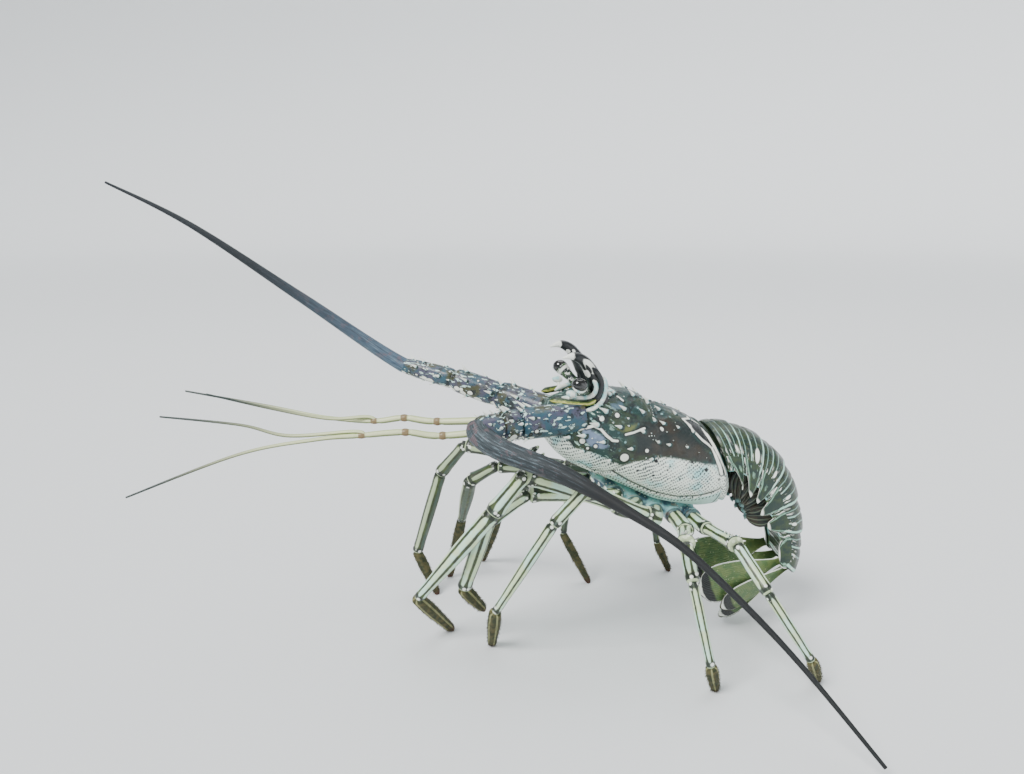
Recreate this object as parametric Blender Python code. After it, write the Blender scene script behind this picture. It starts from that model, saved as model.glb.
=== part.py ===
"""Spiny lobster, life size, walking with its tail curled under."""

import math

import bmesh
import bpy
from mathutils import Matrix, Vector

# every measurement below is in millimetres and is scaled to metres by MM
MM = 0.001
GAP = 0.3
NAME = "spiny_lobster"
# points nearer than this are one point, in metres
WELD = 0.000005

# where the front of the shell sits above the floor, and how the body is turned
SHELL_FRONT = (54.7, -25.5, 209.5)
BODY_PITCH = 13.0
BODY_YAW = 15.0
BODY_ROLL = 6.0

# moves the whole animal so that its box is centred on the origin
CENTRE_SHIFT = (47.8, 38.6, 0.0)

# shell stations from the head to the tail: along, top, bottom, half width, slant
SHELL = (
    (-25, -15, -39, 17, 0.0),
    (-18, -11, -47, 24, 0.0),
    (-7, -5, -53, 29, 0.0),
    (4, 1, -57, 32, 0.03),
    (20, 3, -61, 35, 0.08),
    (38, 4, -66, 37, 0.14),
    (50, 1, -70, 38, 0.2),
    (57, -4, -72, 38, 0.25),
    (66, -2.5, -72.5, 39, 0.3),
    (82, -5, -72, 39, 0.41),
    (96, -8.5, -68, 37, 0.51),
    (99, -10.6, -65.5, 35.6, 0.54),
    (102, -9.6, -65, 35.8, 0.56),
    (108.5, -13, -59, 32, 0.58),
)
SHELL_SIDES = 22
SHELL_WRAP = 146.0
# powers that shape a cross-section: a soft shoulder, and flanks fuller than an ellipse
SHELL_SHOULDER = 0.92
SHELL_FULLNESS = 0.78
# a place well inside the shell, which its spines point away from
SHELL_HEART = (50, 0, -36)

# spines on the shell for one side: station, angle from the back ridge, length, root radius
SHELL_SPINES = (
    (3.9, 18, 7.5, 2.2),
    (4.1, 13, 7.0, 2.1),
    (5.0, 12, 6.5, 2.0),
    (6.0, 14, 5.5, 1.9),
    (7.6, 12, 5.0, 1.8),
    (8.6, 13, 4.0, 1.6),
    (9.4, 12, 3.2, 1.4),
    (3.6, 46, 8.5, 2.6),
    (4.4, 38, 7.0, 2.1),
    (5.3, 36, 6.0, 2.0),
    (6.2, 38, 5.0, 1.8),
    (7.5, 34, 5.0, 1.8),
    (8.4, 36, 3.6, 1.5),
    (9.2, 35, 3.0, 1.4),
    (3.2, 66, 8.0, 2.6),
    (4.2, 62, 6.5, 2.1),
    (5.2, 60, 5.5, 1.9),
    (6.4, 62, 4.4, 1.7),
    (7.6, 60, 4.0, 1.6),
    (8.6, 58, 3.0, 1.4),
    (2.6, 84, 7.0, 2.4),
    (3.6, 86, 5.5, 2.0),
    (4.7, 84, 5.0, 1.9),
    (5.8, 86, 4.0, 1.6),
    (7.4, 84, 3.2, 1.5),
    (2.0, 58, 6.0, 2.0),
    (1.7, 92, 5.5, 1.9),
    (2.8, 108, 4.0, 1.6),
    (4.0, 108, 3.6, 1.6),
)
SPINE_LEAN = 0.95
SPINE_SIDES = 5
SPINE_SINK = 0.8
SPINE_POINT = 0.08
NORMAL_STEP = (0.15, 3.0)

# under plate between the legs: along, top, bottom, half width
STERNUM = (
    (26, -63.5, -69, 8),
    (40, -67, -76, 12),
    (58, -71, -84, 17),
    (76, -74, -88, 21),
    (94, -74.6, -88, 23),
    (112, -74.4, -84, 20),
)
# beyond this place its upper edge runs further back, by this much
STERNUM_STRAIGHT = 50.0
STERNUM_SLANT = 1.4
LEG_ROOTS = (
    (42, 21, -75.5),
    (59, 24, -80),
    (76, 27, -82.5),
    (93, 29, -83),
    (109, 28, -82),
)
HIP_OUT = (3, 15, 15, 17, 10)
HIP_AHEAD = 0.12
COXA_RADIUS = 7.0
COXA_INSIDE = 9.0

# joints of each leg: knee, wrist, ankle, toe
LEGS = {
    "left_1": ((12, -46, 131), (-18, -50, 111), (-38, -40, 50), (-24, -26, 25)),
    "left_2": ((9, -74, 154), (-14, -70, 123), (-74, -42, 43), (-51, -9, 0)),
    "left_3": ((53, -92, 148), (30, -90, 121), (-13, -62, 40), (-16, -36, 0)),
    "left_4": ((125, -98, 109), (127, -120, 89), (142, -122, 25), (148, -109, 0)),
    "left_5": ((164, -90, 105), (182, -114, 78), (216, -114, 26), (227, -95, 0)),
    "right_1": ((-40, 42, 146), (-62, 60, 116), (-85, 70, 39), (-68, 67, 0)),
    "right_2": ((-13, 44, 127), (-36, 50, 112), (-46, 88, 62), (-58, 107, 0)),
    "right_3": ((35, 50, 118), (15, 65, 104), (-14, 115, 52), (-28, 147, 0)),
    "right_4": ((64, 72, 124), (52, 78, 100), (47, 92, 48), (70, 93, 0)),
    "right_5": ((118, 84, 95), (128, 104, 76), (137, 116, 30), (149, 122, 0)),
}
# radii along the legs, first pair to last
UPPER_RADII = ((6.6, 6.0, 7.4), (6.6, 6.0, 7.4), (6.4, 5.6, 7.0), (6.0, 5.2, 6.4), (5.6, 4.8, 6.0))
LOWER_RADII = ((6.8, 6.8, 5.4), (7.0, 7.2, 4.0), (5.6, 4.8, 3.3), (5.4, 4.2, 3.3), (5.2, 4.2, 3.3))
FAR_SLIM = 0.84
FOOT_RADII = ((5.2, 5.4, 3.4), (5.2, 5.6, 3.6), (4.8, 5.2, 3.6), (4.2, 4.6, 3.2), (4.0, 4.4, 3.0))
LEG_SIDES = 8
FOOT_FLAT = 2.2
TOE_LIFT = 3.0

# horns above the eyes, for one side: along, out, up, radius
HORN = (
    (4.4, 15, 7.2, 6.3),
    (0.8, 15.5, 12, 6.0),
    (-4.5, 16.5, 18, 5.2),
    (-12, 17.8, 24, 4.2),
    (-20.5, 18, 26, 3.0),
    (-28, 17, 23, 0.8),
)
HORN_STUB = (14, 14.5, -12)
HORN_STUB_RADIUS = 7.0

EYE_CENTRE = (-13, 25.5, 7)
EYE_ROOT = (-6, 19, 3.5)
EYE_SIZE = (6.2, 5.2, 5.4)
EYE_STALK = 3.6
EYE_STUB_SHIFT = (8, -5, -9)
EYE_STUB_RADIUS = 4.5

# antennae: points in space and radii, from the head outwards
ANTENNA_RIGHT = (
    ((20, -6, 189), 12.0),
    ((-10, 8, 196), 10.5),
    ((-47, 18, 207), 8.6),
    ((-88, 30, 216), 6.2),
    ((-175, 42, 272), 4.2),
    ((-264, 50, 330), 2.4),
    ((-333, 56, 364), 1.0),
)
ANTENNA_LEFT = (
    ((20, -52, 188), 12.0),
    ((0, -58, 187), 11.0),
    ((-24, -72, 187), 9.4),
    ((-9, -84, 176), 8.4),
    ((34, -99, 162), 7.0),
    ((75, -116, 143), 4.2),
    ((114, -135, 122), 3.0),
    ((151, -158, 92), 2.4),
    ((186, -184, 59), 1.9),
    ((229, -226, 12), 1.3),
)
STUB_DEPTH = 38.0
PEDUNCLE_JOINTS = {"right": 3, "left": 2}
FLAGELLUM_JOINTS = {"right": 5, "left": 6}
# swellings along each stout antenna base: share of the way, change of radius
BASE_SWELL = (
    (0.0, 1.0), (0.1, 1.02), (0.25, 1.1), (0.3, 0.93), (0.35, 1.0),
    (0.58, 1.1), (0.63, 0.93), (0.68, 1.0), (0.93, 1.08), (1.0, 1.0),
)
# spines on an antenna base: share of the way, angle round it, length, root radius
BASE_SPINES = (
    (0.08, 60, 7, 2.0), (0.2, 80, 8, 2.1), (0.28, 110, 6, 1.8), (0.42, 65, 6.5, 1.9),
    (0.55, 95, 7, 2.0), (0.7, 75, 5.5, 1.7), (0.86, 100, 6, 1.8), (0.95, 60, 4.5, 1.6),
    (0.12, 150, 6, 1.9), (0.33, 165, 6, 1.9), (0.52, 150, 6, 1.8), (0.72, 170, 5, 1.7),
    (0.9, 150, 5, 1.6), (0.18, 10, 6, 1.9), (0.38, 20, 5.5, 1.8), (0.58, 5, 6, 1.8),
    (0.8, 20, 5, 1.7), (0.24, 230, 4.5, 1.7), (0.5, 240, 4.5, 1.6), (0.76, 235, 4, 1.5),
    (0.3, 300, 4.5, 1.7), (0.62, 305, 4, 1.6),
)

ANTENNULE_LEFT = (
    ((8, -37.4, 180.4), 3.2),
    ((-53, -34, 173), 2.8),
    ((-82, -35, 176), 2.6),
    ((-115, -37, 174), 2.2),
)
ANTENNULE_RIGHT = (
    ((6, -20.5, 182.7), 3.2),
    ((-59, -8, 178), 2.8),
    ((-86, -4, 180), 2.6),
    ((-110, -2, 177), 2.2),
)
OUTER_LEFT = (((-149, -42, 172), 1.5), ((-206, -52, 163), 1.2), ((-286, -70, 135), 0.7))
INNER_LEFT = (((-172, -34, 173), 1.4), ((-209, -32, 181), 1.1), ((-271, -30, 187), 0.7))
OUTER_RIGHT = (((-150, 6, 178), 1.5), ((-200, 14, 186), 1.2), ((-268, 24, 196), 0.7))
INNER_RIGHT = (((-146, -6, 180), 1.4), ((-190, -10, 189), 1.1), ((-240, -12, 201), 0.7))

# where an inner branch starts beyond the joint that both share: ahead, above, radius
INNER_START = (6.0, 3.2, 1.5)

# third mouth leg, for one side in the body frame: along, out, down, radius
MOUTH_LEG = (
    (28, 8, -75, 5.0),
    (8, 9.5, -77, 5.2),
    (-14, 11, -73, 4.6),
    (-23, 10, -63, 3.6),
    (-20, 8, -56, 1.2),
)

MOUTH_STUB_DEPTH = 20.0

# small spines at the far end of each upper leg: angle round the leg, length, root radius
KNEE_SPINES = ((70, 5.0, 1.4), (120, 4.0, 1.2))

# tail: centre of the curl, then each boundary as angle, reach, half width, trunk, flank, yaw
CURL_CENTRE = (176.0, 4.0, 100.0)
TAIL = (
    (106.5, 79, 30, 30, 38, 15),
    (92.5, 74.2, 31, 31, 45, 13),
    (69.6, 66, 31, 31, 42, 10),
    (44.4, 60.5, 30, 29, 37, 7),
    (13.3, 57, 28.5, 27, 34, 4),
    (-14, 62, 26.5, 24, 31, 2),
    (-42, 74, 23, 17, 19, 0),
)
# half outline of the tail's back: share of the half width, share of the trunk depth
TAIL_BACK = ((0, 0), (0.34, 0.05), (0.62, 0.19), (0.83, 0.42), (0.95, 0.74), (1.0, 1.04))
# lower edge where the shell of head and chest ends, so that the first ring follows it
SHELL_REAR = ((107.5, 0, -9.6), (136, 0, -58))
TAIL_RADIUS = 30.0
# swell of the back along one segment, with its cross groove
TAIL_SWELL = (0.0, 1.3, 0.3, 1.5, 1.3, 0.2)
FLANK_TOOTH = 0.22
# swimmeret: half length as a share of the room inside the curl, half width, half thickness
SWIMMERET = (0.36, 9, 0.9)
SWIMMERET_OUT = 0.45
SWIMMERET_DOWN = 0.8

# tail fan lobes: length, half width, splay, turn about the fan axis, root sideways and inward
FAN_LOBES = {
    "telson": (68, 15, 0, 0, 0.0, 0.0),
    "inner_left": (60, 16, -12, -52, -17.0, 7.0),
    "outer_left": (66, 18, -21, -74, -22.5, 19.0),
    "inner_right": (60, 16, 12, 52, 17.0, 7.0),
    "outer_right": (66, 18, 21, 74, 22.5, 19.0),
}
FAN_DIRECTION = (-0.77, 0.0, -0.64)
FAN_THICK = 1.5
FAN_ROOT = 4.0
FAN_CLEAR = 2.5
FAN_RAYS = 7
FAN_TAPER = 0.55
FAN_EDGE = 0.45
FAN_GROOVE = 0.78
# outline of a fan lobe: share of its length, share of its half width
FAN_OUTLINE = ((0, 0.2), (0.12, 0.34), (0.35, 0.68), (0.6, 0.94), (0.8, 1.0), (0.93, 0.8), (1.0, 0.42))


def start_scene():
    """Clear the scene and return the collections for parts and for cutters."""
    for old in list(bpy.data.objects):
        bpy.data.objects.remove(old)
    parts = bpy.data.collections.new(NAME)
    bpy.context.scene.collection.children.link(parts)
    pieces = bpy.data.collections.new("cutters")
    bpy.context.scene.collection.children.link(pieces)
    pieces.hide_render = True
    return parts, pieces


def material(name, colour, roughness):
    """A plain Principled material."""
    made = bpy.data.materials.new(name)
    made.use_nodes = True
    shader = made.node_tree.nodes["Principled BSDF"]
    shader.inputs["Base Color"].default_value = (*colour, 1.0)
    shader.inputs["Roughness"].default_value = roughness
    return made


def body_axes():
    """Directions in space of tailward, rightward and upward on the body."""
    pitch, yaw, roll = (math.radians(a) for a in (BODY_PITCH, BODY_YAW, BODY_ROLL))
    along = Vector((math.cos(yaw) * math.cos(pitch), math.sin(yaw) * math.cos(pitch), -math.sin(pitch)))
    across = Vector((-math.sin(yaw), math.cos(yaw), 0.0))
    upward = along.cross(across)
    side = across * math.cos(roll) + upward * math.sin(roll)
    return along, side, upward * math.cos(roll) - across * math.sin(roll)


ALONG, SIDE, UPWARD = body_axes()


def body(x, y, z):
    """A point in space for a place on the body."""
    return Vector(SHELL_FRONT) + ALONG * x + SIDE * y + UPWARD * z


def on_side(place, side):
    """A point on the left, with side -1, or on the right, with side 1, for a mirrored feature."""
    return body(place[0], side * place[1], place[2])


def finish(mesh, name, collection, shade=None):
    """Scale a millimetre mesh to metres, shade it and link it as an object."""
    mesh.transform(Matrix.Scale(MM, 4) @ Matrix.Translation(CENTRE_SHIFT))
    made = bpy.data.objects.new(name, mesh)
    collection.objects.link(made)
    for face in mesh.polygons:
        face.use_smooth = True
    if shade:
        mesh.materials.append(shade)
    return made


def loft(rings, name):
    """A closed skin through rings of equal length, flat at both ends."""
    count = len(rings[0])
    points = [point for ring in rings for point in ring]
    faces = []
    for row in range(len(rings) - 1):
        for col in range(count):
            a = row * count + col
            b = row * count + (col + 1) % count
            faces.append((a, b, b + count, a + count))
    faces.append(tuple(reversed(range(count))))
    faces.append(tuple(range(len(points) - count, len(points))))
    mesh = bpy.data.meshes.new(name)
    mesh.from_pydata(points, [], faces)
    work = bmesh.new()
    work.from_mesh(mesh)
    bmesh.ops.recalc_face_normals(work, faces=work.faces)
    bmesh.ops.triangulate(work, faces=work.faces, ngon_method="EAR_CLIP")
    work.to_mesh(mesh)
    work.free()
    return mesh


def tube(points, radii, name, sides=LEG_SIDES):
    """A capped round tube through the points with its own radius at each."""
    curve = bpy.data.curves.new(name, "CURVE")
    curve.dimensions = "3D"
    curve.bevel_depth = 1.0
    curve.bevel_resolution = sides // 2 - 2
    curve.use_fill_caps = True
    spline = curve.splines.new("POLY")
    spline.points.add(len(points) - 1)
    for place, point, radius in zip(spline.points, points, radii):
        place.co = (*point, 1.0)
        place.radius = radius
    holder = bpy.data.objects.new(name, curve)
    bpy.context.scene.collection.objects.link(holder)
    bpy.context.view_layer.update()
    mesh = bpy.data.meshes.new_from_object(holder.evaluated_get(bpy.context.evaluated_depsgraph_get()))
    bpy.data.objects.remove(holder)
    bpy.data.curves.remove(curve)
    work = bmesh.new()
    work.from_mesh(mesh)
    bmesh.ops.remove_doubles(work, verts=work.verts, dist=0.001)
    bmesh.ops.recalc_face_normals(work, faces=work.faces)
    work.to_mesh(mesh)
    work.free()
    mesh.materials.clear()
    return mesh


def cone(base, tip, radius):
    """A spine whose root is sunk below the skin at its base."""
    way = (tip - base).normalized()
    root = base - way * radius * SPINE_SINK
    length = (tip - root).length
    turn = way.to_track_quat("Z", "Y").to_matrix().to_4x4()
    mesh = bpy.data.meshes.new("spine")
    work = bmesh.new()
    bmesh.ops.create_cone(work, cap_ends=True, cap_tris=False, segments=SPINE_SIDES, radius1=radius,
                          radius2=radius * SPINE_POINT, depth=length,
                          matrix=Matrix.Translation(root + way * length / 2) @ turn)
    work.to_mesh(mesh)
    work.free()
    return mesh


def ball(centre, size, turn, segments=12, rings=8):
    """An ellipsoid of the given half sizes."""
    mesh = bpy.data.meshes.new("ball")
    work = bmesh.new()
    place = Matrix.Translation(centre) @ turn @ Matrix.Diagonal((*size, 1.0))
    bmesh.ops.create_uvsphere(work, u_segments=segments, v_segments=rings, radius=1.0, matrix=place)
    work.to_mesh(mesh)
    work.free()
    return mesh


def largest(made):
    """Keep only the largest closed surface of an object."""
    work = bmesh.new()
    work.from_mesh(made.data)
    bmesh.ops.remove_doubles(work, verts=work.verts, dist=WELD)
    bmesh.ops.dissolve_degenerate(work, dist=WELD, edges=work.edges)
    bmesh.ops.triangulate(work, faces=work.faces)
    left = set(work.faces)
    groups = []
    while left:
        seed = left.pop()
        group, front = [seed], [seed]
        while front:
            face = front.pop()
            for edge in face.edges:
                beside = edge.link_faces if len(edge.link_faces) == 2 else []
                for other in beside:
                    if other in left:
                        left.remove(other)
                        group.append(other)
                        front.append(other)
        groups.append(group)
    groups.sort(key=len)
    spare = [face for group in groups[:-1] for face in group]
    bmesh.ops.delete(work, geom=spare, context="FACES")
    work.to_mesh(made.data)
    work.free()


def fuse(mesh, extras, name, parts, pieces, shade):
    """One body from a main mesh and the meshes that grow out of it."""
    made = finish(mesh, name, parts, shade)
    if not extras:
        return made
    grown = [finish(extra, name + "_piece", pieces) for extra in extras]
    for piece in grown:
        piece.hide_render = True
        piece.display_type = "WIRE"
    union = made.modifiers.new("union", "BOOLEAN")
    union.operation = "UNION"
    union.operand_type = "COLLECTION"
    union.collection = pieces
    union.solver = "MANIFOLD"
    bpy.context.view_layer.update()
    joined = bpy.data.meshes.new_from_object(made.evaluated_get(bpy.context.evaluated_depsgraph_get()))
    made.modifiers.clear()
    made.data = joined
    made.data.materials.clear()
    made.data.materials.append(shade)
    for piece in grown:
        bpy.data.objects.remove(piece)
    largest(made)
    return made


def mix(a, b, t):
    """Values part way between two rows."""
    return [p + (q - p) * t for p, q in zip(a, b)]


def smooth_path(points, steps):
    """Extra points on a smooth line through the given ones, with their positions."""
    out = []
    last = len(points) - 1
    for i in range(last):
        before = points[max(i - 1, 0)]
        a, b = points[i], points[i + 1]
        after = points[min(i + 2, last)]
        for step in range(steps):
            t = step / steps
            out.append([0.5 * (2 * q + (r - p) * t + (2 * p - 5 * q + 4 * r - s) * t * t
                               + (3 * q - p - 3 * r + s) * t ** 3)
                        for p, q, r, s in zip(before, a, b, after)])
    out.append(list(points[-1]))
    return out


def fallen(turn):
    """How far round the shell a turn from the back ridge has come, before it is scaled to the depth."""
    return ((1 - math.cos(turn)) / 2) ** SHELL_SHOULDER


def shell_place(row, angle):
    """A point on one cross-section of the shell at an angle from the back ridge."""
    x, top, bottom, half, slant = row
    turn = math.radians(angle)
    drop = (top - bottom) * fallen(turn) / fallen(math.radians(SHELL_WRAP))
    out = math.copysign(abs(math.sin(turn)) ** SHELL_FULLNESS, turn)
    return body(x + slant * drop, out * half, top - drop)


def shell_ring(row):
    """One cross-section of the shell, an arch closed by a flat belly."""
    last = SHELL_SIDES - 1
    return [shell_place(row, SHELL_WRAP * (2 * step / last - 1)) for step in range(SHELL_SIDES)]


def shell_point(station, angle):
    """A point on the shell at a fractional station and an angle from the back ridge."""
    low = min(int(station), len(SHELL) - 2)
    return shell_place(mix(SHELL[low], SHELL[low + 1], station - low), angle)


def shell_normal(station, angle):
    """The outward direction of the shell at the same place."""
    step, turn = NORMAL_STEP
    ahead = shell_point(station + step, angle) - shell_point(station - step, angle)
    round_it = shell_point(station, angle + turn) - shell_point(station, angle - turn)
    outward = ahead.cross(round_it).normalized()
    if outward.dot(shell_point(station, angle) - body(*SHELL_HEART)) < 0:
        outward = -outward
    return outward


def shell_spines():
    """Forward-leaning spines in rows on both sides of the shell."""
    spines = []
    for station, angle, length, radius in SHELL_SPINES:
        for side in (-1, 1):
            skin = shell_point(station, side * angle)
            way = (shell_normal(station, side * angle) - ALONG * SPINE_LEAN).normalized()
            spines.append(cone(skin, skin + way * length, radius))
    return spines


def build_shell(parts, pieces, shade):
    """The shell of head and chest."""
    rings = [shell_ring(row) for row in smooth_path(SHELL, 2)]
    extras = shell_spines()
    for side in (-1, 1):
        stub = on_side(HORN[0], side)
        lead = (on_side(HORN[1], side) - stub).normalized()
        girth = HORN[0][3]
        radii = [HORN_STUB_RADIUS, girth, girth]
        extras.append(tube([on_side(HORN_STUB, side), stub - lead * 2, stub], radii, "stub", 10))
        eye = on_side(EYE_ROOT, side)
        inward = on_side([a + b for a, b in zip(EYE_ROOT, EYE_STUB_SHIFT)], side)
        lead = (on_side(EYE_CENTRE, side) - eye).normalized()
        radii = [EYE_STUB_RADIUS, EYE_STALK, EYE_STALK]
        extras.append(tube([inward, eye - lead * 1.5, eye], radii, "stub", 8))
    for chain in (ANTENNA_LEFT, ANTENNA_RIGHT, ANTENNULE_LEFT, ANTENNULE_RIGHT):
        base, ahead = Vector(chain[0][0]), Vector(chain[1][0])
        lead = (ahead - base).normalized()
        inside = base - lead * STUB_DEPTH
        extras.append(tube([inside, base], [chain[0][1] * 1.1, chain[0][1]], "stub", 10))
    return fuse(loft(rings, "shell"), extras, "carapace", parts, pieces, shade)


def joint_cut(before, joint, after, back, reach=3.0):
    """Points just short of a joint, the last step square to the bisector."""
    joint = Vector(joint)
    into = (joint - Vector(before)).normalized()
    out = (Vector(after) - joint).normalized()
    way = (into + out).normalized()
    if back:
        return joint + way * GAP / 2, joint + way * reach
    return joint - way * reach, joint - way * GAP / 2


def around(start, end, share, girth, angle, length, radius):
    """A spine on a limb that runs from start to end, leaning towards its end."""
    way = (Vector(end) - Vector(start)).normalized()
    flat = way.cross(Vector((0, 0, 1))).normalized()
    above = flat.cross(way)
    turn = math.radians(angle)
    outward = above * math.sin(turn) + flat * math.cos(turn)
    skin = Vector(start).lerp(Vector(end), share) + outward * girth * 0.93
    return cone(skin, skin + (outward + way * 0.8).normalized() * length, radius)


def leg_root(label, joints):
    """Inner end, root and hip of a leg, and its pair number from nought."""
    side = -1 if label.startswith("left") else 1
    pair = int(label[-1]) - 1
    root = on_side(LEG_ROOTS[pair], side)
    hip = root.lerp(Vector(joints[0]), HIP_AHEAD) + SIDE * side * HIP_OUT[pair]
    return on_side((LEG_ROOTS[pair][0], COXA_INSIDE, LEG_ROOTS[pair][2]), side), root, hip, pair


def build_legs(parts, pieces, shades):
    """Ten legs of three pieces each, from the coxa to the toe."""
    for label, joints in LEGS.items():
        inside, root, hip, pair = leg_root(label, joints)
        knee, wrist, ankle, toe = (Vector(joint) for joint in joints)
        start = joint_cut(inside, root, hip, True)
        end = joint_cut(hip, knee, wrist, False)
        slim = FAR_SLIM if label.startswith("right") else 1.0
        r = [radius * slim for radius in UPPER_RADII[pair]]
        points = [start[0], start[1], hip, hip.lerp(knee, 0.5), end[0], end[1]]
        radii = [r[0], r[0], r[0], r[1], r[2], r[2]]
        spines = [around(hip, end[0], 0.93, r[2], *spine) for spine in KNEE_SPINES]
        fuse(tube(points, radii, "upper"), spines, "leg_%s_upper" % label, parts, pieces, shades[0])
        start = joint_cut(hip, knee, wrist, True)
        end = joint_cut(wrist, ankle, toe, False)
        r = [radius * slim for radius in LOWER_RADII[pair]]
        points = [start[0], start[1], wrist, wrist.lerp(ankle, 0.35), end[0], end[1]]
        radii = [r[0], r[0], r[1] * 0.94, r[1], r[2], r[2]]
        finish(tube(points, radii, "lower"), "leg_%s_lower" % label, parts, shades[0])
        start = joint_cut(wrist, ankle, toe, True)
        r = [radius * slim for radius in FOOT_RADII[pair]]
        heel = toe + Vector((0, 0, TOE_LIFT))
        points = [start[0], start[1], start[1].lerp(heel, 0.35), start[1].lerp(heel, 0.75), heel, toe]
        radii = [r[0], r[0], r[1], r[1] * 0.8, r[2], FOOT_FLAT]
        finish(tube(points, radii, "foot"), "leg_%s_foot" % label, parts, shades[1])


def build_sternum(parts, pieces, shade):
    """The under plate with the short first joints of the legs."""
    rings = []
    for x, top, bottom, half in STERNUM:
        upper = x + (STERNUM_SLANT if x > STERNUM_STRAIGHT else 0.0)
        middle = (top + bottom) / 2
        left = [body(upper, -half * 0.8, top), body(x, -half, middle), body(x, -half * 0.6, bottom)]
        right = [body(x, half * 0.6, bottom), body(x, half, middle), body(upper, half * 0.8, top)]
        rings.append(left + right)
    extras = []
    for label, joints in LEGS.items():
        inside, root, hip, pair = leg_root(label, joints)
        end = joint_cut(inside, root, hip, False)
        radii = [COXA_RADIUS, COXA_RADIUS, COXA_RADIUS * 0.94]
        extras.append(tube([inside, end[0], end[1]], radii, "coxa", 8))
    for side in (-1, 1):
        x, y, z, radius = MOUTH_LEG[0]
        end = on_side(MOUTH_LEG[0], side)
        way = (on_side(MOUTH_LEG[1], side) - end).normalized()
        inside = on_side((x + MOUTH_STUB_DEPTH, y, z + 1), side)
        extras.append(tube([inside, end - way * 3, end - way * GAP], [radius] * 3, "stub", 8))
    return fuse(loft(rings, "sternum"), extras, "sternum", parts, pieces, shade)


def build_head(parts, pieces, shades):
    """Horns, eyes and mouth legs."""
    for word, side in (("left", -1), ("right", 1)):
        path = smooth_path(HORN, 2)
        points = [on_side(row, side) for row in path]
        points[0] = points[0] + (points[1] - points[0]).normalized() * GAP
        finish(tube(points, [row[3] for row in path], "horn", 10), "horn_" + word, parts, shades["horn"])
        centre = on_side(EYE_CENTRE, side)
        root = on_side(EYE_ROOT, side)
        way = (centre - root).normalized()
        turn = Matrix((ALONG, SIDE, UPWARD)).transposed().to_4x4()
        stalk = tube([root + way * GAP, centre], [EYE_STALK, EYE_STALK], "stalk", 8)
        fuse(ball(centre, EYE_SIZE, turn), [stalk], "eye_" + word, parts, pieces, shades["eye"])
        path = smooth_path(MOUTH_LEG, 2)
        points = [on_side(row, side) for row in path]
        finish(tube(points, [row[3] for row in path], "mouth"), "mouth_leg_" + word, parts, shades["limb"])


def cut_chain(chain, first, last):
    """Points and radii of one length of a chain, with half the gap off each inner end."""
    points = [Vector(place) for place, radius in chain[first:last + 1]]
    radii = [radius for place, radius in chain[first:last + 1]]
    if first > 0:
        back = Vector(chain[first - 1][0])
        start = joint_cut(back, points[0], points[1], True, radii[0])
        points[0:1] = start
        radii[0:1] = [radii[0], radii[0]]
    else:
        points[0] = points[0] + (points[1] - points[0]).normalized() * GAP
    if last < len(chain) - 1:
        end = joint_cut(points[-2], points[-1], chain[last + 1][0], False, radii[-1])
        points[-1:] = end
        radii[-1:] = [radii[-1], radii[-1]]
    return points, radii


def along_path(points, radii, share):
    """Place, direction and radius at a share of the length of a path."""
    spans = [(b - a).length for a, b in zip(points, points[1:])]
    left = share * sum(spans)
    for i, span in enumerate(spans):
        if left <= span or i == len(spans) - 1:
            t = min(left / span, 1.0)
            radius = radii[i] + (radii[i + 1] - radii[i]) * t
            return points[i].lerp(points[i + 1], t), points[i + 1] - points[i], radius
        left -= span
    return points[-1], points[-1] - points[-2], radii[-1]


def swelling(share):
    """Change of radius at a share of the way along an antenna base."""
    for (before, low), (after, high) in zip(BASE_SWELL, BASE_SWELL[1:]):
        if share <= after:
            return low + (high - low) * (share - before) / (after - before)
    return BASE_SWELL[-1][1]


def swell(points, radii):
    """A jointed outline for a stout antenna base, and the spines on it."""
    body_points, body_radii = points[:-1], radii[:-1]
    rows = [along_path(body_points, body_radii, share) for share, change in BASE_SWELL]
    spines = []
    for share, angle, length, radius in BASE_SPINES:
        place, way, girth = along_path(body_points, body_radii, share)
        girth *= swelling(share)
        spines.append(around(place, place + way, 0, girth, angle, length, radius))
    thick = [row[2] * change for row, (share, change) in zip(rows, BASE_SWELL)]
    return [row[0] for row in rows] + points[-1:], thick + radii[-1:], spines


def build_feelers(parts, pieces, shades):
    """Antennae with their stout bases, and the slim pair between them."""
    for word, chain in (("left", ANTENNA_LEFT), ("right", ANTENNA_RIGHT)):
        base, half = PEDUNCLE_JOINTS[word], FLAGELLUM_JOINTS[word]
        points, radii = cut_chain(chain, 0, base)
        points, radii, spines = swell(points, radii)
        name = "antenna_%s_base" % word
        fuse(tube(points, radii, "base", 12), spines, name, parts, pieces, shades["shell"])
        for label, first, last in (("near", base, half), ("far", half, len(chain) - 1)):
            points, radii = cut_chain(chain, first, last)
            finish(tube(points, radii, label, 10), "antenna_%s_%s" % (word, label), parts, shades["feeler"])
    for word, chain, outer, inner in (("left", ANTENNULE_LEFT, OUTER_LEFT, INNER_LEFT),
                                      ("right", ANTENNULE_RIGHT, OUTER_RIGHT, INNER_RIGHT)):
        full = chain + outer
        points, radii = cut_chain(full, 0, len(full) - 1)
        finish(tube(points, radii, "slim", 8), "antennule_%s_outer" % word, parts, shades["pale"])
        tip = Vector(chain[-1][0])
        way = (Vector(inner[0][0]) - tip).normalized()
        ahead, above, girth = INNER_START
        points = [tip + way * ahead + Vector((0, 0, above))] + [Vector(place) for place, radius in inner]
        radii = [girth] + [radius for place, radius in inner]
        finish(tube(points, radii, "slim", 8), "antennule_%s_inner" % word, parts, shades["pale"])


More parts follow.
